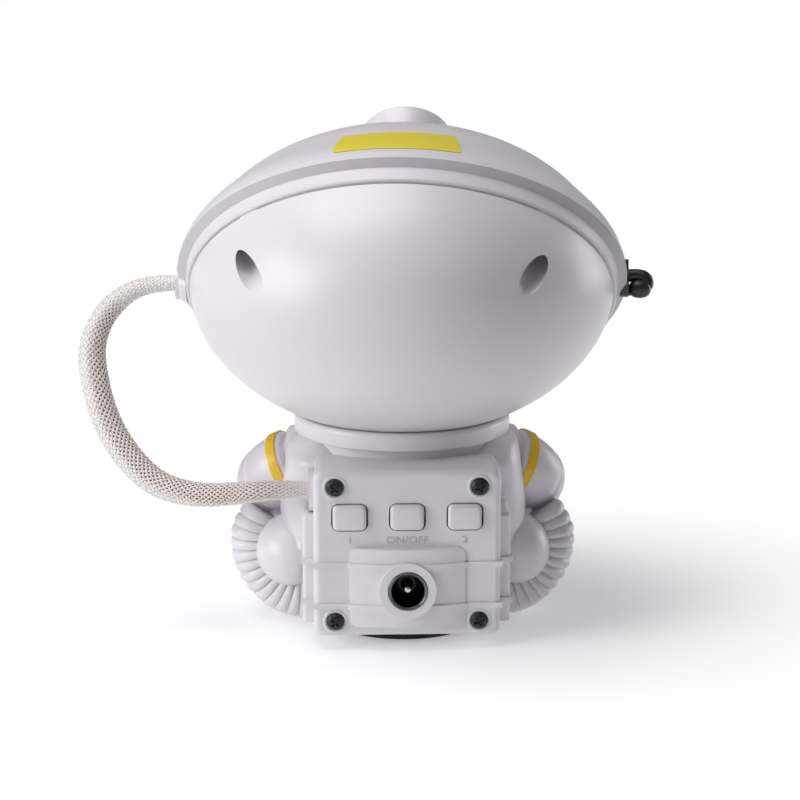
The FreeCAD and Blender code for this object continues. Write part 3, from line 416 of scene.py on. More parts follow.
grain_amount = add_node(grain, "ShaderNodeMath", operation="MULTIPLY")
grain_rough = add_node(grain, "ShaderNodeMath", {1: 1.5}, "MULTIPLY_ADD")
grain_shift = add_node(grain, "ShaderNodeMath", {0: 1.0}, "ADD")
grain_tone = add_node(grain, "ShaderNodeVectorMath", operation="SCALE")
join(grain,
     (grain_place, "Object", grain_fine, "Vector"), (grain_in, "Grain Scale", grain_fine, "Scale"),
     (grain_fine, "Fac", grain_bump, "Height"), (grain_in, "Grain Depth", grain_bump, "Strength"),
     (grain_place, "Object", grain_wide, "Vector"), (grain_wide, "Fac", grain_span, "Value"),
     (grain_span, "Result", grain_amount, 0), (grain_in, "Mottle", grain_amount, 1),
     (grain_amount, 0, grain_shift, 1), (grain_in, "Colour", grain_tone, 0),
     (grain_shift, 0, grain_tone, "Scale"),
     (grain_amount, 0, grain_rough, 0), (grain_in, "Roughness", grain_rough, 2),
     (grain_tone, "Vector", grain_out, "Colour"), (grain_rough, 0, grain_out, "Roughness"),
     (grain_bump, "Normal", grain_out, "Normal"))


def moulded(name, colour, rough, scale=900.0, depth=0.12, mottle=0.012, metallic=0.0, coat=0.0):
    """A plastic or metal whose colour, roughness and normal come from the shared grain group."""
    material = bpy.data.materials.new(name)
    material.use_nodes = True
    tree = material.node_tree
    shader = tree.nodes["Principled BSDF"]
    skin = add_node(tree, "ShaderNodeGroup")
    skin.node_tree = grain
    for entry, value in (("Colour", (*colour, 1)), ("Roughness", rough), ("Grain Scale", scale),
                         ("Grain Depth", depth), ("Mottle", mottle)):
        skin.inputs[entry].default_value = value
    join(tree, (skin, "Colour", shader, "Base Color"), (skin, "Roughness", shader, "Roughness"),
         (skin, "Normal", shader, "Normal"))
    shader.inputs["Metallic"].default_value = metallic
    shader.inputs["Coat Weight"].default_value = coat
    shader.inputs["Coat Roughness"].default_value = 0.25
    return material


def paint(material, *names):
    """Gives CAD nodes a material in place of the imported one."""
    for name in names:
        for place in nodes[name].material_slots:
            place.material = material


white_abs = moulded("white_abs", (0.775, 0.75, 0.785), 0.36, coat=0.15)
paint(white_abs, "helmet_front_shell", "torso_front_shell", "torso_rear_shell", "neck_collar",
      "shoulder_cuff_left", "shoulder_cuff_right", "glove_left", "glove_right", "shin_left", "shin_right",
      "boot_left", "boot_right", "backpack_case", "backpack_cover", "chest_panel", "helmet_hose_gland",
      "backpack_hose_gland", "lens_tube", "helmet_trim_ring")
paint(moulded("band_yellow", (0.84, 0.55, 0.018), 0.34, coat=0.2), "arm_band_left", "arm_band_right")
paint(moulded("base_black", (0.03, 0.03, 0.032), 0.55), "base_plate")
paint(moulded("pad_rubber", (0.025, 0.025, 0.025), 0.85, 400.0, 0.4), "base_pad")
black_abs = moulded("black_abs", (0.018, 0.018, 0.02), 0.4, 700.0, 0.2, coat=0.1)
paint(black_abs, "mic_mount", "button_switches")
paint(moulded("smoked_visor", (0.012, 0.012, 0.02), 0.08, 200.0, 0.02, coat=1.0), "visor")
paint(moulded("steel", (0.55, 0.55, 0.57), 0.3, 1500.0, 0.1, metallic=1.0), "disc_axle", "ripple_motor")
paint(moulded("aluminium", (0.62, 0.63, 0.65), 0.35, 1500.0, 0.15, metallic=1.0), "heat_sink")
paint(moulded("brass", (0.66, 0.48, 0.20), 0.3, 1500.0, 0.1, metallic=1.0), "laser_module")
paint(moulded("grey_abs", (0.32, 0.33, 0.36), 0.5), "neck_spigot", "optics_bulkhead")
paint(moulded("natural_nylon", (0.70, 0.70, 0.66), 0.45), "swivel_washer", "neck_retainer", "motor_pinion")
paint(moulded("solder_mask", (0.012, 0.12, 0.05), 0.3), "led_board", "control_board")
paint(moulded("led_phosphor", (0.75, 0.62, 0.12), 0.4), "led_emitters")


def clear(name, colour, rough):
    """Clear moulded glass or acrylic."""
    material = bpy.data.materials.new(name)
    material.use_nodes = True
    shader = material.node_tree.nodes["Principled BSDF"]
    shader.inputs["Base Color"].default_value = (*colour, 1)
    shader.inputs["Roughness"].default_value = rough
    shader.inputs["Transmission Weight"].default_value = 1.0
    shader.inputs["IOR"].default_value = 1.5
    return material


paint(clear("lens_glass", (0.96, 0.98, 1.0), 0.02), "projection_lens", "collimator_lens", "laser_window")
paint(clear("ripple_acrylic", (0.85, 0.92, 1.0), 0.12), "ripple_disc")

# The helmet. Two moulded shells meet on a plane that leans back. The front one overhangs the trim
# band with a stepped lip that fades into the crest, where a plain strip of yellow film is stuck.

head_radius = 0.075
head_half_height = 0.0545
head_z = 0.1206
head_turn = math.radians(-4.0)
rim_lean = math.radians(47.5)
lip_start = -0.0009
lip_length = 0.027
lip_proud = 0.0042
lip_far = lip_start + lip_length * np.array([0.0, 0.12, 0.25, 0.38, 0.50, 0.62, 0.75, 0.88, 1.0])
lip_high = lip_proud * np.array([1.0, 0.97, 0.87, 0.70, 0.51, 0.32, 0.15, 0.04, 0.0])


def in_helmet(across, up, low):
    """Places given on the leaning rim axis, as places of the turned helmet.

    The frame leans forward, y = low sin lean - up cos lean and z = low cos lean + up sin lean, and
    then turns about the neck: x' = x cos turn - y sin turn, y' = x sin turn + y cos turn.
    """
    y = low * math.sin(rim_lean) - up * math.cos(rim_lean)
    z = head_z + low * math.cos(rim_lean) + up * math.sin(rim_lean)
    return np.stack([across * math.cos(head_turn) - y * math.sin(head_turn),
                     across * math.sin(head_turn) + y * math.cos(head_turn), z], axis=-1)


def on_rim(low, proud, turn):
    """Points round the squashed ball's own section on a plane square to the rim axis.

    The section is an ellipse: with A and B the squares of the two radii and h the height, q =
    cos cos / A + sin sin / B, its centre lies below by h sin cos (1 / B - 1 / A) / q, its half width
    is the radius times the root of the level, and its half height the root of level / q.
    """
    across = head_radius ** 2
    tall = head_half_height ** 2
    square = math.cos(rim_lean) ** 2 / across + math.sin(rim_lean) ** 2 / tall
    slope = low * math.sin(rim_lean) * math.cos(rim_lean) * (1 / tall - 1 / across)
    rest = 1 - low ** 2 * (math.sin(rim_lean) ** 2 / across + math.cos(rim_lean) ** 2 / tall)
    level = rest + slope ** 2 / square
    wide = head_radius * np.sqrt(level) + proud
    high = np.sqrt(level / square) + proud
    return in_helmet(wide * np.sin(turn), high * np.cos(turn) - slope / square, low)


roll_rows = 28
roll_columns = 56
roll_faces = grid_faces(roll_rows, roll_columns, close_columns=True)


def roll(centre, reach, power):
    """A closed rounded form: reach times (cos b cos a, cos b sin a, sin b), each to a power with its sign."""
    b, a = np.meshgrid(np.linspace(-math.pi / 2, math.pi / 2, roll_rows), turns(roll_columns), indexing="ij")
    form = np.stack([np.cos(b) * np.cos(a), np.cos(b) * np.sin(a), np.sin(b)], axis=-1)
    form = np.sign(form) * np.abs(form) ** power
    return np.array(centre) + form * np.array(reach)


def eased(rows, count):
    """Points on a smooth line through the rows.

    Between two rows p and q, with r before and s after, the point at t is half of 2 p + (q - r) t +
    (2 r - 5 p + 4 q - s) t t + (3 p - r - 3 q + s) t t t.
    """
    rows = np.asarray(rows, dtype=float)
    padded = np.concatenate([2 * rows[:1] - rows[1:2], rows, 2 * rows[-1:] - rows[-2:-1]])
    far = np.linspace(0.0, len(rows) - 1, count)
    span = np.minimum(far.astype(int), len(rows) - 2)
    t = (far - span)[:, None]
    r, p, q, s = (padded[span + step] for step in range(4))
    return 0.5 * (2 * p + (q - r) * t + (2 * r - 5 * p + 4 * q - s) * t ** 2 + (3 * p - r - 3 * q + s) * t ** 3)


def sleeve_rings(places, headings, radii, sides):
    """Rings of points square to the headings: centre + radius (side cos turn + other sin turn)."""
    headings = headings / np.linalg.norm(headings, axis=1)[:, None]
    first = np.cross(headings, (0.0, 0.0, 1.0))
    first /= np.linalg.norm(first, axis=1)[:, None]
    second = np.cross(headings, first)
    turn = turns(sides)
    ring = first[:, None] * np.cos(turn)[:, None] + second[:, None] * np.sin(turn)[:, None]
    return places[:, None] + radii[:, None, None] * ring


def closed_ends(points):
    """Adds a first and a last row drawn in to the middle of its ring, so that the form is closed."""
    start = np.repeat(points[:1].mean(axis=1, keepdims=True), points.shape[1], axis=1)
    end = np.repeat(points[-1:].mean(axis=1, keepdims=True), points.shape[1], axis=1)
    return np.concatenate([start, points, end])


def carved(piece, *tools):
    """The piece less each closed tool. What comes out is its own mesh, with its sharp edges marked."""
    for tool in tools:
        carve = piece.modifiers.new("carve", "BOOLEAN")
        carve.operation = "DIFFERENCE"
        carve.solver = "EXACT"
        carve.object = tool
    bpy.context.view_layer.update()
    mesh = bpy.data.meshes.new_from_object(piece.evaluated_get(bpy.context.evaluated_depsgraph_get()))
    piece.modifiers.clear()
    piece.data = mesh
    mesh.set_sharp_from_angle(angle=math.radians(35.0))
    for tool in tools:
        bpy.data.objects.remove(tool)
    return piece


def closed_form(name, points):
    """A closed piece from rows of points: its ends are drawn in to their middles and welded there."""
    rows, columns = points.shape[:2]
    piece = surface(name, closed_ends(points), grid_faces(rows + 2, columns, close_columns=True), white_abs)
    form = bmesh.new()
    form.from_mesh(piece.data)
    bmesh.ops.remove_doubles(form, verts=form.verts, dist=0.000001)
    form.to_mesh(piece.data)
    form.free()
    return piece


def helmet_cap(radius, half_height, low_end, rows, columns):
    """Rows of points on a squashed ball, from its rear pole to a plane square to the rim axis.

    The ball is a unit ball stretched by the radii. Seen in the unit ball, the rim axis points along
    (0, radius sin lean, half height cos lean), whose length is how far the pole lies from the centre.
    """
    tip = np.array([0.0, radius * math.sin(rim_lean), half_height * math.cos(rim_lean)])
    reach = np.linalg.norm(tip)
    tip /= reach
    side = np.cross(tip, (1.0, 0.0, 0.0))
    away = np.linspace(0.02, math.acos(-low_end / reach), rows)[:, None, None]
    turn = turns(columns)[:, None]
    unit = -np.cos(away) * tip + np.sin(away) * (np.cos(turn) * np.array([1.0, 0.0, 0.0]) + np.sin(turn) * side)
    place = unit * (radius, radius, half_height)
    return np.stack([place[..., 0] * math.cos(head_turn) - place[..., 1] * math.sin(head_turn),
                     place[..., 0] * math.sin(head_turn) + place[..., 1] * math.cos(head_turn),
                     head_z + place[..., 2]], axis=-1)


def upright_bar(name, half_width, low, high, sides, start=0.0):
    """A closed bar about the neck axis, with a round or a square section."""
    turn = start + turns(sides)
    ring = np.stack([half_width * np.cos(turn), half_width * np.sin(turn)], axis=-1)
    rows = [np.concatenate([ring, np.full((sides, 1), level)], axis=1) for level in (low, high)]
    return closed_form(name, np.array(rows))


helmet_wall = 0.0024
rim_back = -0.0106
helmet_bottom = 0.0729
neck_floor = 0.003
neck_bore = 0.02508
well_radius = 0.0041
well_wall = 0.0018
well_depth = 0.020
well_across = 0.047
well_shift = -0.0018
well_up = 0.0100
well_slope = math.radians(25.0)
well_splay = math.radians(9.0)
bar_sides = 72
overrun = 0.016
past_all = 0.2
turned_round = np.array([[math.cos(head_turn), math.sin(head_turn), 0.0],
                         [-math.sin(head_turn), math.cos(head_turn), 0.0], [0.0, 0.0, 1.0]])
cups = []
pockets = []
well_seats = []
for hand in (-1.0, 1.0):
    across = hand * well_across + well_shift
    rear = -head_radius * math.sqrt(1 - (across / head_radius) ** 2 - (well_up / head_half_height) ** 2)
    mouth = np.array([across, rear, well_up]) @ turned_round + (0.0, 0.0, head_z)
    inward = np.array([hand * math.sin(well_splay) * math.cos(well_slope),
                       math.cos(well_splay) * math.cos(well_slope), math.sin(well_slope)]) @ turned_round
    for bars, reach, radius in ((cups, well_depth + 0.002, well_radius + well_wall),
                                (pockets, well_depth, well_radius)):
        line = np.stack([mouth - overrun * inward, mouth + reach * inward])
        rings = sleeve_rings(line, np.stack([inward, inward]), np.full(2, radius), bar_sides)
        bars.append(closed_form("well_bar", rings))
    well_seats.append((mouth + well_depth * inward, inward))
hollow = closed_form("helmet_hollow", helmet_cap(head_radius - helmet_wall, head_half_height - helmet_wall,
                                                 rim_back + 0.004, rows=60, columns=120))
floor_block = upright_bar("floor_block", past_all, 0.0, helmet_bottom + neck_floor, sides=4, start=math.pi / 4)
hollow = carved(hollow, *cups, floor_block)
rear_shell = closed_form("rear_shell_skin", helmet_cap(head_radius, head_half_height, rim_back,
                                                       rows=90, columns=180))
collar_block = upright_bar("collar_block", past_all, 0.0, helmet_bottom, sides=4, start=math.pi / 4)
neck_bar = upright_bar("neck_bar", neck_bore, 0.05, helmet_bottom + 2 * neck_floor, sides=96)
rear_shell = carved(rear_shell, hollow, *pockets, collar_block, neck_bar)
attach(rear_shell, "head")
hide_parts("helmet_rear_shell")

strip_rows = 25
strip_columns = 61
strip_low = 0.0141
strip_half_low = 0.0092
strip_half_turn = 0.281
strip_shift = -0.007
film = 0.00014
row, column = np.meshgrid(np.linspace(-1.0, 1.0, strip_rows), np.linspace(-1.0, 1.0, strip_columns),
                          indexing="ij")
corner = np.clip((np.abs(row) - 0.84) / 0.16, 0.0, 1.0)
column = column * (1 - 0.035 * (1 - np.sqrt(1 - corner ** 2)))
low = strip_low + strip_half_low * row
strip_points = on_rim(low, np.interp(low, lip_far, lip_high) + film, strip_half_turn * column + strip_shift)
strip_film = moulded("strip_yellow", (0.86, 0.73, 0.045), 0.42, 1400.0, 0.08, 0.02, coat=0.2)
strip = surface("crest_strip", strip_points, grid_faces(strip_rows, strip_columns), strip_film,
                inside=(0.0, 0.0, head_z))
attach(strip, "head")

# The rim's shadow step. The face between the trim band and the front shell's lip is covered with a greyer, matt
# strip of painted shade that stands in for the step's own shade, so it reads as a soft grey line right round the
# helmet.

step_rows = 9
step_columns = 241
step_low = np.linspace(-0.0033, -0.0009, step_rows)
step_proud = np.linspace(0.0012, 0.0042, step_rows) + 0.00006
row, column = np.meshgrid(np.arange(step_rows), np.linspace(-2.30, 2.30, step_columns), indexing="ij")
# The strip's darker grey is painted shade where the step falls into shadow.
shade = surface("rim_step_painted_shade", on_rim(step_low[row], step_proud[row], column),
                grid_faces(step_rows, step_columns),
                moulded("rim_painted_shade_grey", (0.58, 0.565, 0.59), 0.5, 700.0, 0.2), inside=(0.0, 0.0, head_z))
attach(shade, "head")

# The helmet screws. Steel pan heads with a cross recess stand at the bottom of the two wells.

screw_rings = 40
screw_sides = 96


def screw_head(radius, rise, recess):
    """Heights over a round screw head: a dome with its edge rounded off, less a cross recess.

    The dome is rise (1 - 0.45 r r) with a step down to a washer ring, and its edge falls as the root
    of 1 - r to the eighth. The recess follows the deeper of the two arms' soft steps.
    """
    share, turn = np.meshgrid(np.linspace(0.0, 1.0, screw_rings), turns(screw_sides), indexing="ij")
    x = share * np.cos(turn)
    y = share * np.sin(turn)
    height = rise * (1 - 0.45 * share ** 2 - 0.22 * soft_step(share, 0.70, 0.78)) * np.sqrt(1 - share ** 8)
    arm_x = (1 - soft_step(np.abs(y), 0.09, 0.15)) * (1 - soft_step(np.abs(x), 0.46, 0.58))
    arm_y = (1 - soft_step(np.abs(x), 0.09, 0.15)) * (1 - soft_step(np.abs(y), 0.46, 0.58))
    height = height - recess * np.maximum(arm_x, arm_y) * (1 - 0.35 * share)
    return radius * x, radius * y, height


screw_x, screw_y, screw_rise = screw_head(radius=0.0029, rise=0.0019, recess=0.0011)
well_screws = []
for seat, inward in well_seats:
    level = np.cross(inward, (0.0, 0.0, 1.0))
    level /= np.linalg.norm(level)
    well_screws.append(seat + screw_x[..., None] * level + screw_y[..., None] * np.cross(level, inward)
                       - screw_rise[..., None] * inward)
head_faces = grid_faces(screw_rings, screw_sides, close_columns=True)[:, ::-1]
pair = surface("well_screws", np.array(well_screws), copies(head_faces, screw_rings * screw_sides, 2),
               moulded("screw_steel", (0.42, 0.42, 0.44), 0.32, 1500.0, 0.1, metallic=1.0))
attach(pair, "head")
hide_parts("helmet_screws")

# The microphone. A stubby black arm leaves the plate on the helmet's right side, bends down at once
# and ends in a fat rounded tip.

mic_steps = 40
mic_sides = 32
mic_radius = 0.0023
mic_line = eased([(0.0800, 0.0010, 0.1206), (0.0832, 0.0009, 0.1207), (0.0858, 0.0004, 0.1202),
                  (0.0870, -0.0003, 0.1186), (0.0866, -0.0009, 0.1168)], mic_steps)
mic_rings = sleeve_rings(mic_line, np.gradient(mic_line, axis=0), np.full(mic_steps, mic_radius), mic_sides)
mic_boom = surface("mic_arm", closed_ends(mic_rings), grid_faces(mic_steps + 2, mic_sides, close_columns=True),
                   black_abs)
mic_tip = surface("mic_windscreen", roll((0.0842, -0.0014, 0.1163), (0.0040, 0.0035, 0.0033), 0.9), roll_faces,
                  black_abs)
for piece, hidden in ((mic_boom, "mic_boom"), (mic_tip, "mic_tip")):
    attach(piece, "head")
    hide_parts(hidden)

# The arms. Each is one moulded sleeve from the shoulder to the wrist. It starts in a stepped
# shoulder joint beside the torso, carries the yellow band, and creases a little at the elbow.

arm_radius = 0.0123
arm_steps = 220
arm_sides = 96
shoulder = np.array([0.036, 0.0, 0.0546])
arm_shares = np.array([
    (-0.60, 0.0, 0.12, 0.78), (0.0, 0.0, 0.0, 0.95), (0.53, 0.04, -0.24, 1.0), (0.87, 0.33, -0.61, 1.03),
    (0.95, 0.98, -0.90, 0.98), (0.84, 1.79, -1.0, 0.84), (0.65, 2.52, -0.98, 0.71)])
arm_headings = np.array([
    (1.0, 0.0, -0.10), (0.95, 0.0, -0.30), (0.86, 0.28, -0.42), (0.62, 0.62, -0.48), (0.25, 0.90, -0.35),
    (-0.10, 0.98, -0.12), (-0.15, 0.98, 0.0)])
arm_line = eased(arm_shares, arm_steps)
arm_places = shoulder + arm_radius * arm_line[:, :3]
arm_points = sleeve_rings(arm_places, eased(arm_headings, arm_steps), arm_radius * arm_line[:, 3], arm_sides)
band_axis = arm_headings[2] / np.linalg.norm(arm_headings[2])
out = (arm_points - shoulder) @ band_axis
step_in = np.interp(out, (-0.0060, -0.0026, -0.0020, -0.0008, -0.0002, 0.0012, 0.0018, 0.0023, 0.0030),
                    (0.78, 0.80, 0.90, 0.93, 0.84, 0.83, 0.94, 0.985, 1.0))
elbow = np.linspace(0.0, 1.0, arm_steps)[:, None]
crease = 0.030 * np.exp(-((elbow - 0.52) / 0.022) ** 2) + 0.035 * np.exp(-((elbow - 0.66) / 0.024) ** 2)
bulge = 0.020 * np.exp(-((elbow - 0.59) / 0.045) ** 2)
arm_points = arm_places[:, None] + (arm_points - arm_places[:, None]) * (step_in - crease + bulge)[..., None]
arm_points = closed_ends(arm_points)
arm_faces = grid_faces(arm_steps + 2, arm_sides, close_columns=True)
hands = ((1.0, "right"), (-1.0, "left"))
for hand, name in hands:
    arm = surface("suit_arm_" + name, arm_points * (hand, 1.0, 1.0), arm_faces, white_abs)
    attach(arm, "figure")
    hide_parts("arm_" + name)

# The legs. Each thigh is a moulded bellows bent outward round the smooth hip, with fourteen
# rounded ribs and narrow valleys between them.

leg_x = 0.0344
leg_y = -0.0125
leg_z = 0.0274
leg_bend = 0.0187
leg_radius = 0.0086
leg_start = math.radians(-102.0)
leg_sweep = math.radians(134.0)
leg_sides = 96
leg_lean = 0.0065
leg_taper = 0.16
rib_count = 14
rib_depth = 0.0015
leg_steps = rib_count * 16 + 1
leg_far = np.linspace(0.0, 1.0, leg_steps)
leg_angle = leg_start + leg_sweep * leg_far
leg_out = np.stack([np.cos(leg_angle), np.zeros(leg_steps), np.sin(leg_angle)], axis=1)
leg_places = np.array([leg_x, leg_y, leg_z]) + leg_bend * leg_out
leg_places[:, 1] += leg_lean * leg_far
rib_share = 2 * ((rib_count * leg_far) % 1.0) - 1
rib_rise = np.sqrt(np.clip(1 - rib_share ** 2, 0.0, 1.0))
leg_turn = turns(leg_sides)[:, None]
ring = np.array([0.0, 1.0, 0.0]) * np.sin(leg_turn) - leg_out[:, None] * np.cos(leg_turn)
leg_reach = (leg_radius - rib_depth * (1 - rib_rise)) * (1 - leg_taper * soft_step(leg_far, 0.80, 1.0))
leg_points = closed_ends(leg_places[:, None] + leg_reach[:, None, None] * ring)
leg_faces = grid_faces(leg_steps + 2, leg_sides, close_columns=True)
for hand, name in hands:
    leg = surface("bellows_leg_" + name, leg_points * (hand, 1.0, 1.0), leg_faces, white_abs)
    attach(leg, "figure")
    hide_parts("ribbed_leg_" + name)

# The suit's sides. Each flank of the moulded torso runs down from the collar as a soft wall,
# creases once above the hip and closes in under it. The smooth hip sits beside it, and a plain
# band runs under the bellows.

wall_line = eased([(0.0195, 0.0340), (0.0222, 0.0400), (0.0260, 0.0424), (0.0295, 0.0424), (0.0325, 0.0418),
                   (0.0360, 0.0432), (0.0405, 0.0437), (0.0480, 0.0430), (0.0560, 0.0420), (0.0620, 0.0412),
                   (0.0650, 0.0402), (0.0668, 0.0378)], 72)
wall_level, wall_out = wall_line[:, :1], wall_line[:, 1:]
wall_x = 0.0285
wall_y = -0.0060
wall_sides = 72
wall_turn = turns(wall_sides)
wall_across = np.sign(np.cos(wall_turn)) * np.abs(np.cos(wall_turn)) ** 0.75
wall_along = np.sign(np.sin(wall_turn)) * np.abs(np.sin(wall_turn)) ** 0.75
wall_depth = 0.0120 * (1 + soft_step(wall_level, 0.0195, 0.0300))
wall_depth -= 0.0070 * soft_step(wall_level, 0.0590, 0.0680)
wall_points = closed_ends(np.stack([wall_x + (wall_out - wall_x) * wall_across, wall_y + wall_depth * wall_along,
                                    wall_level * np.ones(wall_sides)], axis=-1))
wall_faces = grid_faces(len(wall_points), wall_sides, close_columns=True)
hip_points = roll((0.0400, -0.0130, 0.0252), (0.0124, 0.0150, 0.0128), 1.0)
sole_y = -0.0075
sole_bow = 0.0016
sole_radius = leg_radius - 0.0004
sole_floor = 0.0003
sole_steps = 60
sole_sides = 64
sole_angle = np.radians(np.linspace(-104.0, -38.0, sole_steps))
sole_far = leg_bend + sole_bow * np.sin(np.linspace(0.0, math.pi, sole_steps))
sole_places = np.stack([leg_x + sole_far * np.cos(sole_angle), np.full(sole_steps, sole_y),
                        leg_z + sole_far * np.sin(sole_angle)], axis=1)
sole_headings = np.stack([-np.sin(sole_angle), np.zeros(sole_steps), np.cos(sole_angle)], axis=1)
sole_points = closed_ends(sleeve_rings(sole_places, sole_headings, np.full(sole_steps, sole_radius), sole_sides))
sole_points[..., 2] = np.maximum(sole_points[..., 2], sole_floor)
sole_faces = grid_faces(sole_steps + 2, sole_sides, close_columns=True)
for hand, name in hands:
    wall = surface("flank_folds_" + name, wall_points * (hand, 1.0, 1.0), wall_faces, white_abs)
    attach(wall, "figure")
    hip = surface("smooth_hip_" + name, hip_points * (hand, 1.0, 1.0), roll_faces, white_abs)
    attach(hip, "figure")
    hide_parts("hip_cap_" + name)
    sole = surface("leg_underside_" + name, sole_points * (hand, 1.0, 1.0), sole_faces, white_abs)
    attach(sole, "figure")

# The backpack's fittings. Black cross-recess screws stand in raised rings and hold the cover, the
# buttons have softly pillowed faces, and the power socket has a dark turned ring, an insulator
# and a centre pin.

cover_rear = -0.052
screw_places = [(across, level) for across in (-0.0246, 0.0246) for level in (0.0102, 0.0574)]
screw_x, screw_y, screw_rise = screw_head(radius=0.0031, rise=0.0019, recess=0.0012)
seat_radius = 0.00375
seat_bead = 0.00050
seat_proud = 0.00030
seat_sides = 72
seat_rows = 16
seat_turn, seat_share = np.meshgrid(turns(seat_sides), turns(seat_rows), indexing="ij")
seat_reach = seat_radius + seat_bead * np.cos(seat_share)
cover_screws = []
screw_seats = []
for across, level in screw_places:
    turned = math.radians(25.0 if across > 0 else 50.0)
    cover_screws.append(np.stack([
        across + screw_x * math.cos(turned) - screw_y * math.sin(turned), cover_rear - screw_rise,
        level + screw_x * math.sin(turned) + screw_y * math.cos(turned)], axis=-1))
    screw_seats.append(np.stack([
        across + seat_reach * np.cos(seat_turn), cover_rear - seat_proud * np.sin(seat_share),
        level + seat_reach * np.sin(seat_turn)], axis=-1))
heads = surface("cover_screw_heads", np.array(cover_screws), copies(head_faces, screw_rings * screw_sides, 4),
                moulded("screw_black", (0.035, 0.035, 0.037), 0.34, 1500.0, 0.15, metallic=0.6))
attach(heads, "figure")
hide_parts("cover_screws")
seat_faces = grid_faces(seat_sides, seat_rows, close_columns=True, close_rows=True)
seats = surface("screw_seat_rings", np.array(screw_seats), copies(seat_faces, seat_sides * seat_rows, 4),
                white_abs)
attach(seats, "figure")


def pad_ring(half_width, half_height, corner, steps=10):
    """A ring of points round a rectangle whose corners are quarter circles."""
    turn = np.linspace(0.0, math.pi / 2, steps)
    ring = []
    for quarter, (right, top) in enumerate(((1, 1), (-1, 1), (-1, -1), (1, -1))):
        angle = turn + quarter * math.pi / 2
        ring.append(np.stack([right * (half_width - corner) + corner * np.cos(angle),
                              top * (half_height - corner) + corner * np.sin(angle)], axis=-1))
    return np.concatenate(ring)


def pad_rows(rows, across, level, steps=10):
    """Rows of points of a pad that faces along Y, from each row's place on Y and pad_ring's sizes."""
    points = []
    for place, *sizes in rows:
        ring = pad_ring(*sizes, steps)
        points.append(np.stack([across + ring[:, 0], np.full(len(ring), place), level + ring[:, 1]], axis=-1))
    return np.array(points)


button_width = 0.0057
button_height = 0.0044
button_corner = 0.0018
button_face = -0.0540
button_level = 0.0470
button_spacing = 0.0196
button_shift = -0.0001
flange = (0.0072, 0.0059, 0.0028)
pillow = 0.0013
button_rows = [(-0.0463, 0.0016, 0.0016, 0.0016), (-0.0463, *flange), (-0.0473, *flange),
               (-0.0473, button_width, button_height, button_corner)]
for share in np.linspace(0.0, 1.0, 9):
    inset = pillow * (1 - math.cos(share * math.pi / 2))
    button_rows.append((button_face + pillow * (1 - math.sin(share * math.pi / 2)), button_width - inset,
                        button_height - inset, button_corner - 0.6 * inset))
button_rows.append((button_face - 0.00012, 0.0022, 0.0014, 0.0007))
for name, across in (("mode", -button_spacing), ("power", 0.0), ("speed", button_spacing)):
    button = closed_form("push_button_" + name, pad_rows(button_rows, across + button_shift, button_level))
    button.data.set_sharp_from_angle(angle=math.radians(50.0))
    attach(button, name + "_button")
    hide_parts(name + "_button")


def turned_piece(name, profile, centre, material, sides=72):
    """A turned form on an axis along Y: the profile's rows are the distance to the rear and the radius."""
    profile = np.asarray(profile)
    turn = turns(sides)
    points = np.stack([
        centre[0] + profile[:, 1, None] * np.cos(turn),
        centre[1] - profile[:, 0, None] * np.ones(sides),
        centre[2] + profile[:, 1, None] * np.sin(turn)], axis=-1)
    piece = surface(name, points, grid_faces(len(profile), sides, close_columns=True), material)
    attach(piece, "figure")
    return piece


socket = (0.0, -0.0573, 0.0222)
ring_metal = moulded("socket_ring", (0.16, 0.16, 0.17), 0.22, 1500.0, 0.05, metallic=1.0)
ring_profile = [(-0.010, 0.0056), (-0.010, 0.0068), (-0.0002, 0.0068), (0.0002, 0.00665), (0.00035, 0.0064),
                (0.0002, 0.00615), (-0.0001, 0.0060), (0.0001, 0.00588), (0.0002, 0.0058), (0.0001, 0.0057),
                (-0.0003, 0.0056), (-0.010, 0.0056)]
ring = turned_piece("socket_ring", ring_profile, socket, ring_metal)
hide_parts("power_socket_sleeve")
core_profile = [(-0.0176, 0.0), (-0.0176, 0.0067), (-0.0101, 0.0067), (-0.0099, 0.0054), (-0.0095, 0.0052),
                (-0.0094, 0.0034), (-0.0090, 0.0032), (-0.0090, 0.0020), (-0.0096, 0.0018), (-0.0096, 0.0)]
core = turned_piece("socket_insulator", core_profile, socket, black_abs)
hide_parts("power_socket_core")
pin_profile = [(-0.0096, 0.0), (-0.0096, 0.0013), (-0.0026, 0.0013), (-0.0021, 0.0012), (-0.0018, 0.00085),
               (-0.0017, 0.0004), (-0.0017, 0.0)]
pin = turned_piece("socket_pin", pin_profile, socket,
                   moulded("pin_nickel", (0.60, 0.59, 0.56), 0.25, metallic=1.0), 40)

# The chest panel's raised shapes, three round studs over a rounded bar.

panel_front = 0.0400
stud_spacing = 0.0085
stud_level = 0.0495
stud_profile = [(-0.00100, 0.0), (-0.00100, 0.0017), (-0.00085, 0.0021), (-0.00050, 0.0023), (0.00030, 0.0023),
                (0.00030, 0.0)]
for name, across in (("left", -stud_spacing), ("middle", 0.0), ("right", stud_spacing)):
    stud = turned_piece("chest_stud_" + name, stud_profile, (across, panel_front, stud_level), white_abs, 48)
bar_level = 0.0405
bar_half_width = 0.0107
bar_half_height = 0.0024
bar_corner = 0.0023
bar_steps = ((0.00090, 0.0009), (0.00090, 0.0004), (0.00075, 0.0001), (0.00045, 0.0), (-0.00030, 0.0))
bar_rows = [(panel_front + forward, bar_half_width - inset, bar_half_height - inset, bar_corner - inset)
            for forward, inset in bar_steps]
chest_bar = closed_form("chest_bar", pad_rows(bar_rows, 0.0, bar_level))
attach(chest_bar, "figure")
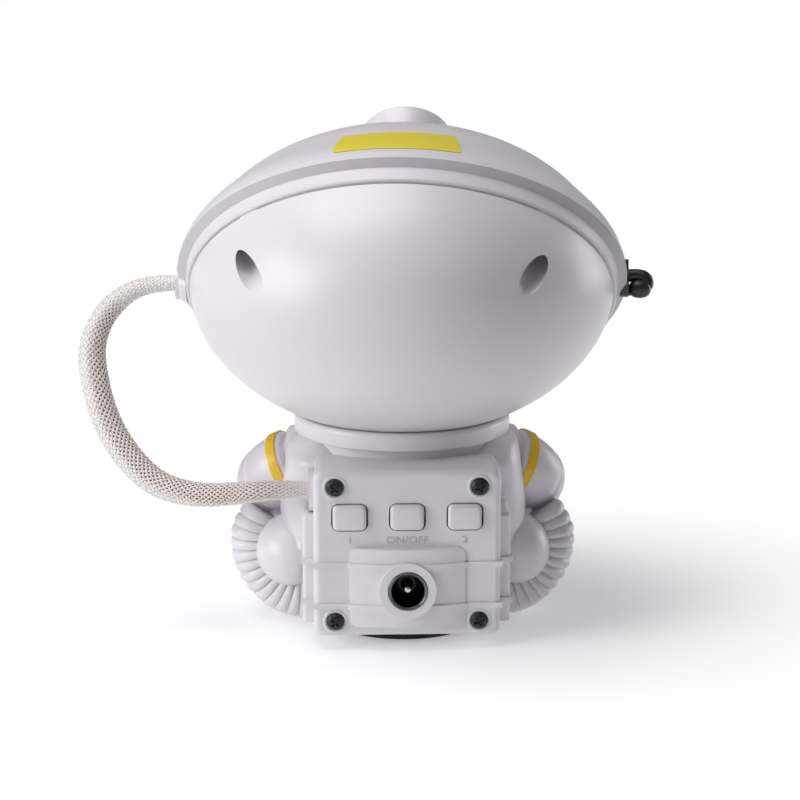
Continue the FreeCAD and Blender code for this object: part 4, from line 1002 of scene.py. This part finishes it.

# The electronic parts on the control board: two chips, the larger one with its legs, a small
# connector and a can capacitor with its groove.

board_rear = -0.0399
chip_across = -0.0165
chip_level = 0.0305
chip_steps = ((0.0, 0.0), (0.55, 0.0), (0.90, 0.00010), (1.0, 0.00030), (1.0, 0.0011), (0.93, 0.0012))
chip_black = moulded("chip_black", (0.025, 0.025, 0.028), 0.5, 1500.0, 0.1)
for name, across, level, half_width, half_height, corner, depth, material in (
        ("board_chip", chip_across, chip_level, 0.0042, 0.0032, 0.0003, 0.0014, chip_black),
        ("board_driver", 0.0150, 0.0330, 0.0025, 0.0020, 0.0002, 0.0012, chip_black),
        ("board_connector", -0.0170, 0.0205, 0.0036, 0.0019, 0.0005, 0.0034, white_abs)):
    rows = [(board_rear - rise * depth, half_width - inset, half_height - inset, max(corner - inset, 0.00008))
            for rise, inset in chip_steps]
    chip = closed_form(name, pad_rows(rows, across, level, 5))
    chip.data.materials.clear()
    chip.data.materials.append(material)
    chip.data.set_sharp_from_angle(angle=math.radians(40.0))
    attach(chip, "figure")
legs_metal = moulded("chip_legs", (0.62, 0.62, 0.60), 0.3, 1500.0, 0.05, metallic=1.0)
leg_bow = np.array([(-0.0002, 0.0004), (0.0004, 0.00055), (0.0009, 0.00035), (0.0012, 0.0), (0.0012, -0.0004)])
bow_steps = len(leg_bow)
bow_sides = 8
bow_radius = 0.00018
bow_row = 0.0034
bow_out = 0.0031
bow_sunk = 0.0002
legs = []
for hand in (-1.0, 1.0):
    for at in np.linspace(-bow_row, bow_row, 7):
        line = np.stack([np.full(bow_steps, chip_across + at), board_rear - bow_sunk - leg_bow[:, 1],
                         chip_level + hand * (bow_out + leg_bow[:, 0])], axis=1)
        legs.append(sleeve_rings(line, np.gradient(line, axis=0), np.full(bow_steps, bow_radius), bow_sides))
bow_faces = grid_faces(bow_steps, bow_sides, close_columns=True)
chip_legs = surface("board_chip_legs", np.array(legs), copies(bow_faces, bow_steps * bow_sides, len(legs)),
                    legs_metal)
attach(chip_legs, "figure")
can_profile = [(0.0, 0.0), (0.0, 0.0024), (0.0003, 0.0025), (0.0008, 0.0025), (0.0010, 0.0023), (0.0013, 0.0025),
               (0.0047, 0.0025), (0.0050, 0.0022), (0.0050, 0.0)]
turned_piece("board_capacitor", can_profile, (0.0175, board_rear, 0.0205), legs_metal, 40)

# The signs. Plain numbers and ON/OFF stand a little proud of the cover under the buttons, in a darker grey that
# is painted shade standing in for the shade round their raised edges.

sign_level = 0.0378
sign_stretch = 1.18
# Painted shade: the letters are greyer than the cover so that their relief reads.
sign_painted_shade = moulded("sign_painted_shade", (0.56, 0.545, 0.57), 0.5)
for name, words, across in (("left", "1", -button_spacing), ("middle", "ON/OFF", 0.0),
                            ("right", "2", button_spacing)):
    letters = bpy.data.curves.new("sign_" + name, "FONT")
    letters.body = words
    letters.align_x = "CENTER"
    letters.size = 0.0034
    letters.extrude = 0.00012
    letters.bevel_depth = 0.00004
    sign_mesh, corners = curve_mesh(letters)
    laid = np.stack([across + sign_stretch * corners[:, 0], cover_rear - corners[:, 2],
                     sign_level + corners[:, 1]], axis=1)
    sign_mesh.vertices.foreach_set("co", laid.ravel())
    sign_mesh.materials.clear()
    sign_mesh.materials.append(sign_painted_shade)
    sign_mesh.update()
    sign = bpy.data.objects.new("sign_" + name, sign_mesh)
    bpy.context.collection.objects.link(sign)
    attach(sign, "figure")
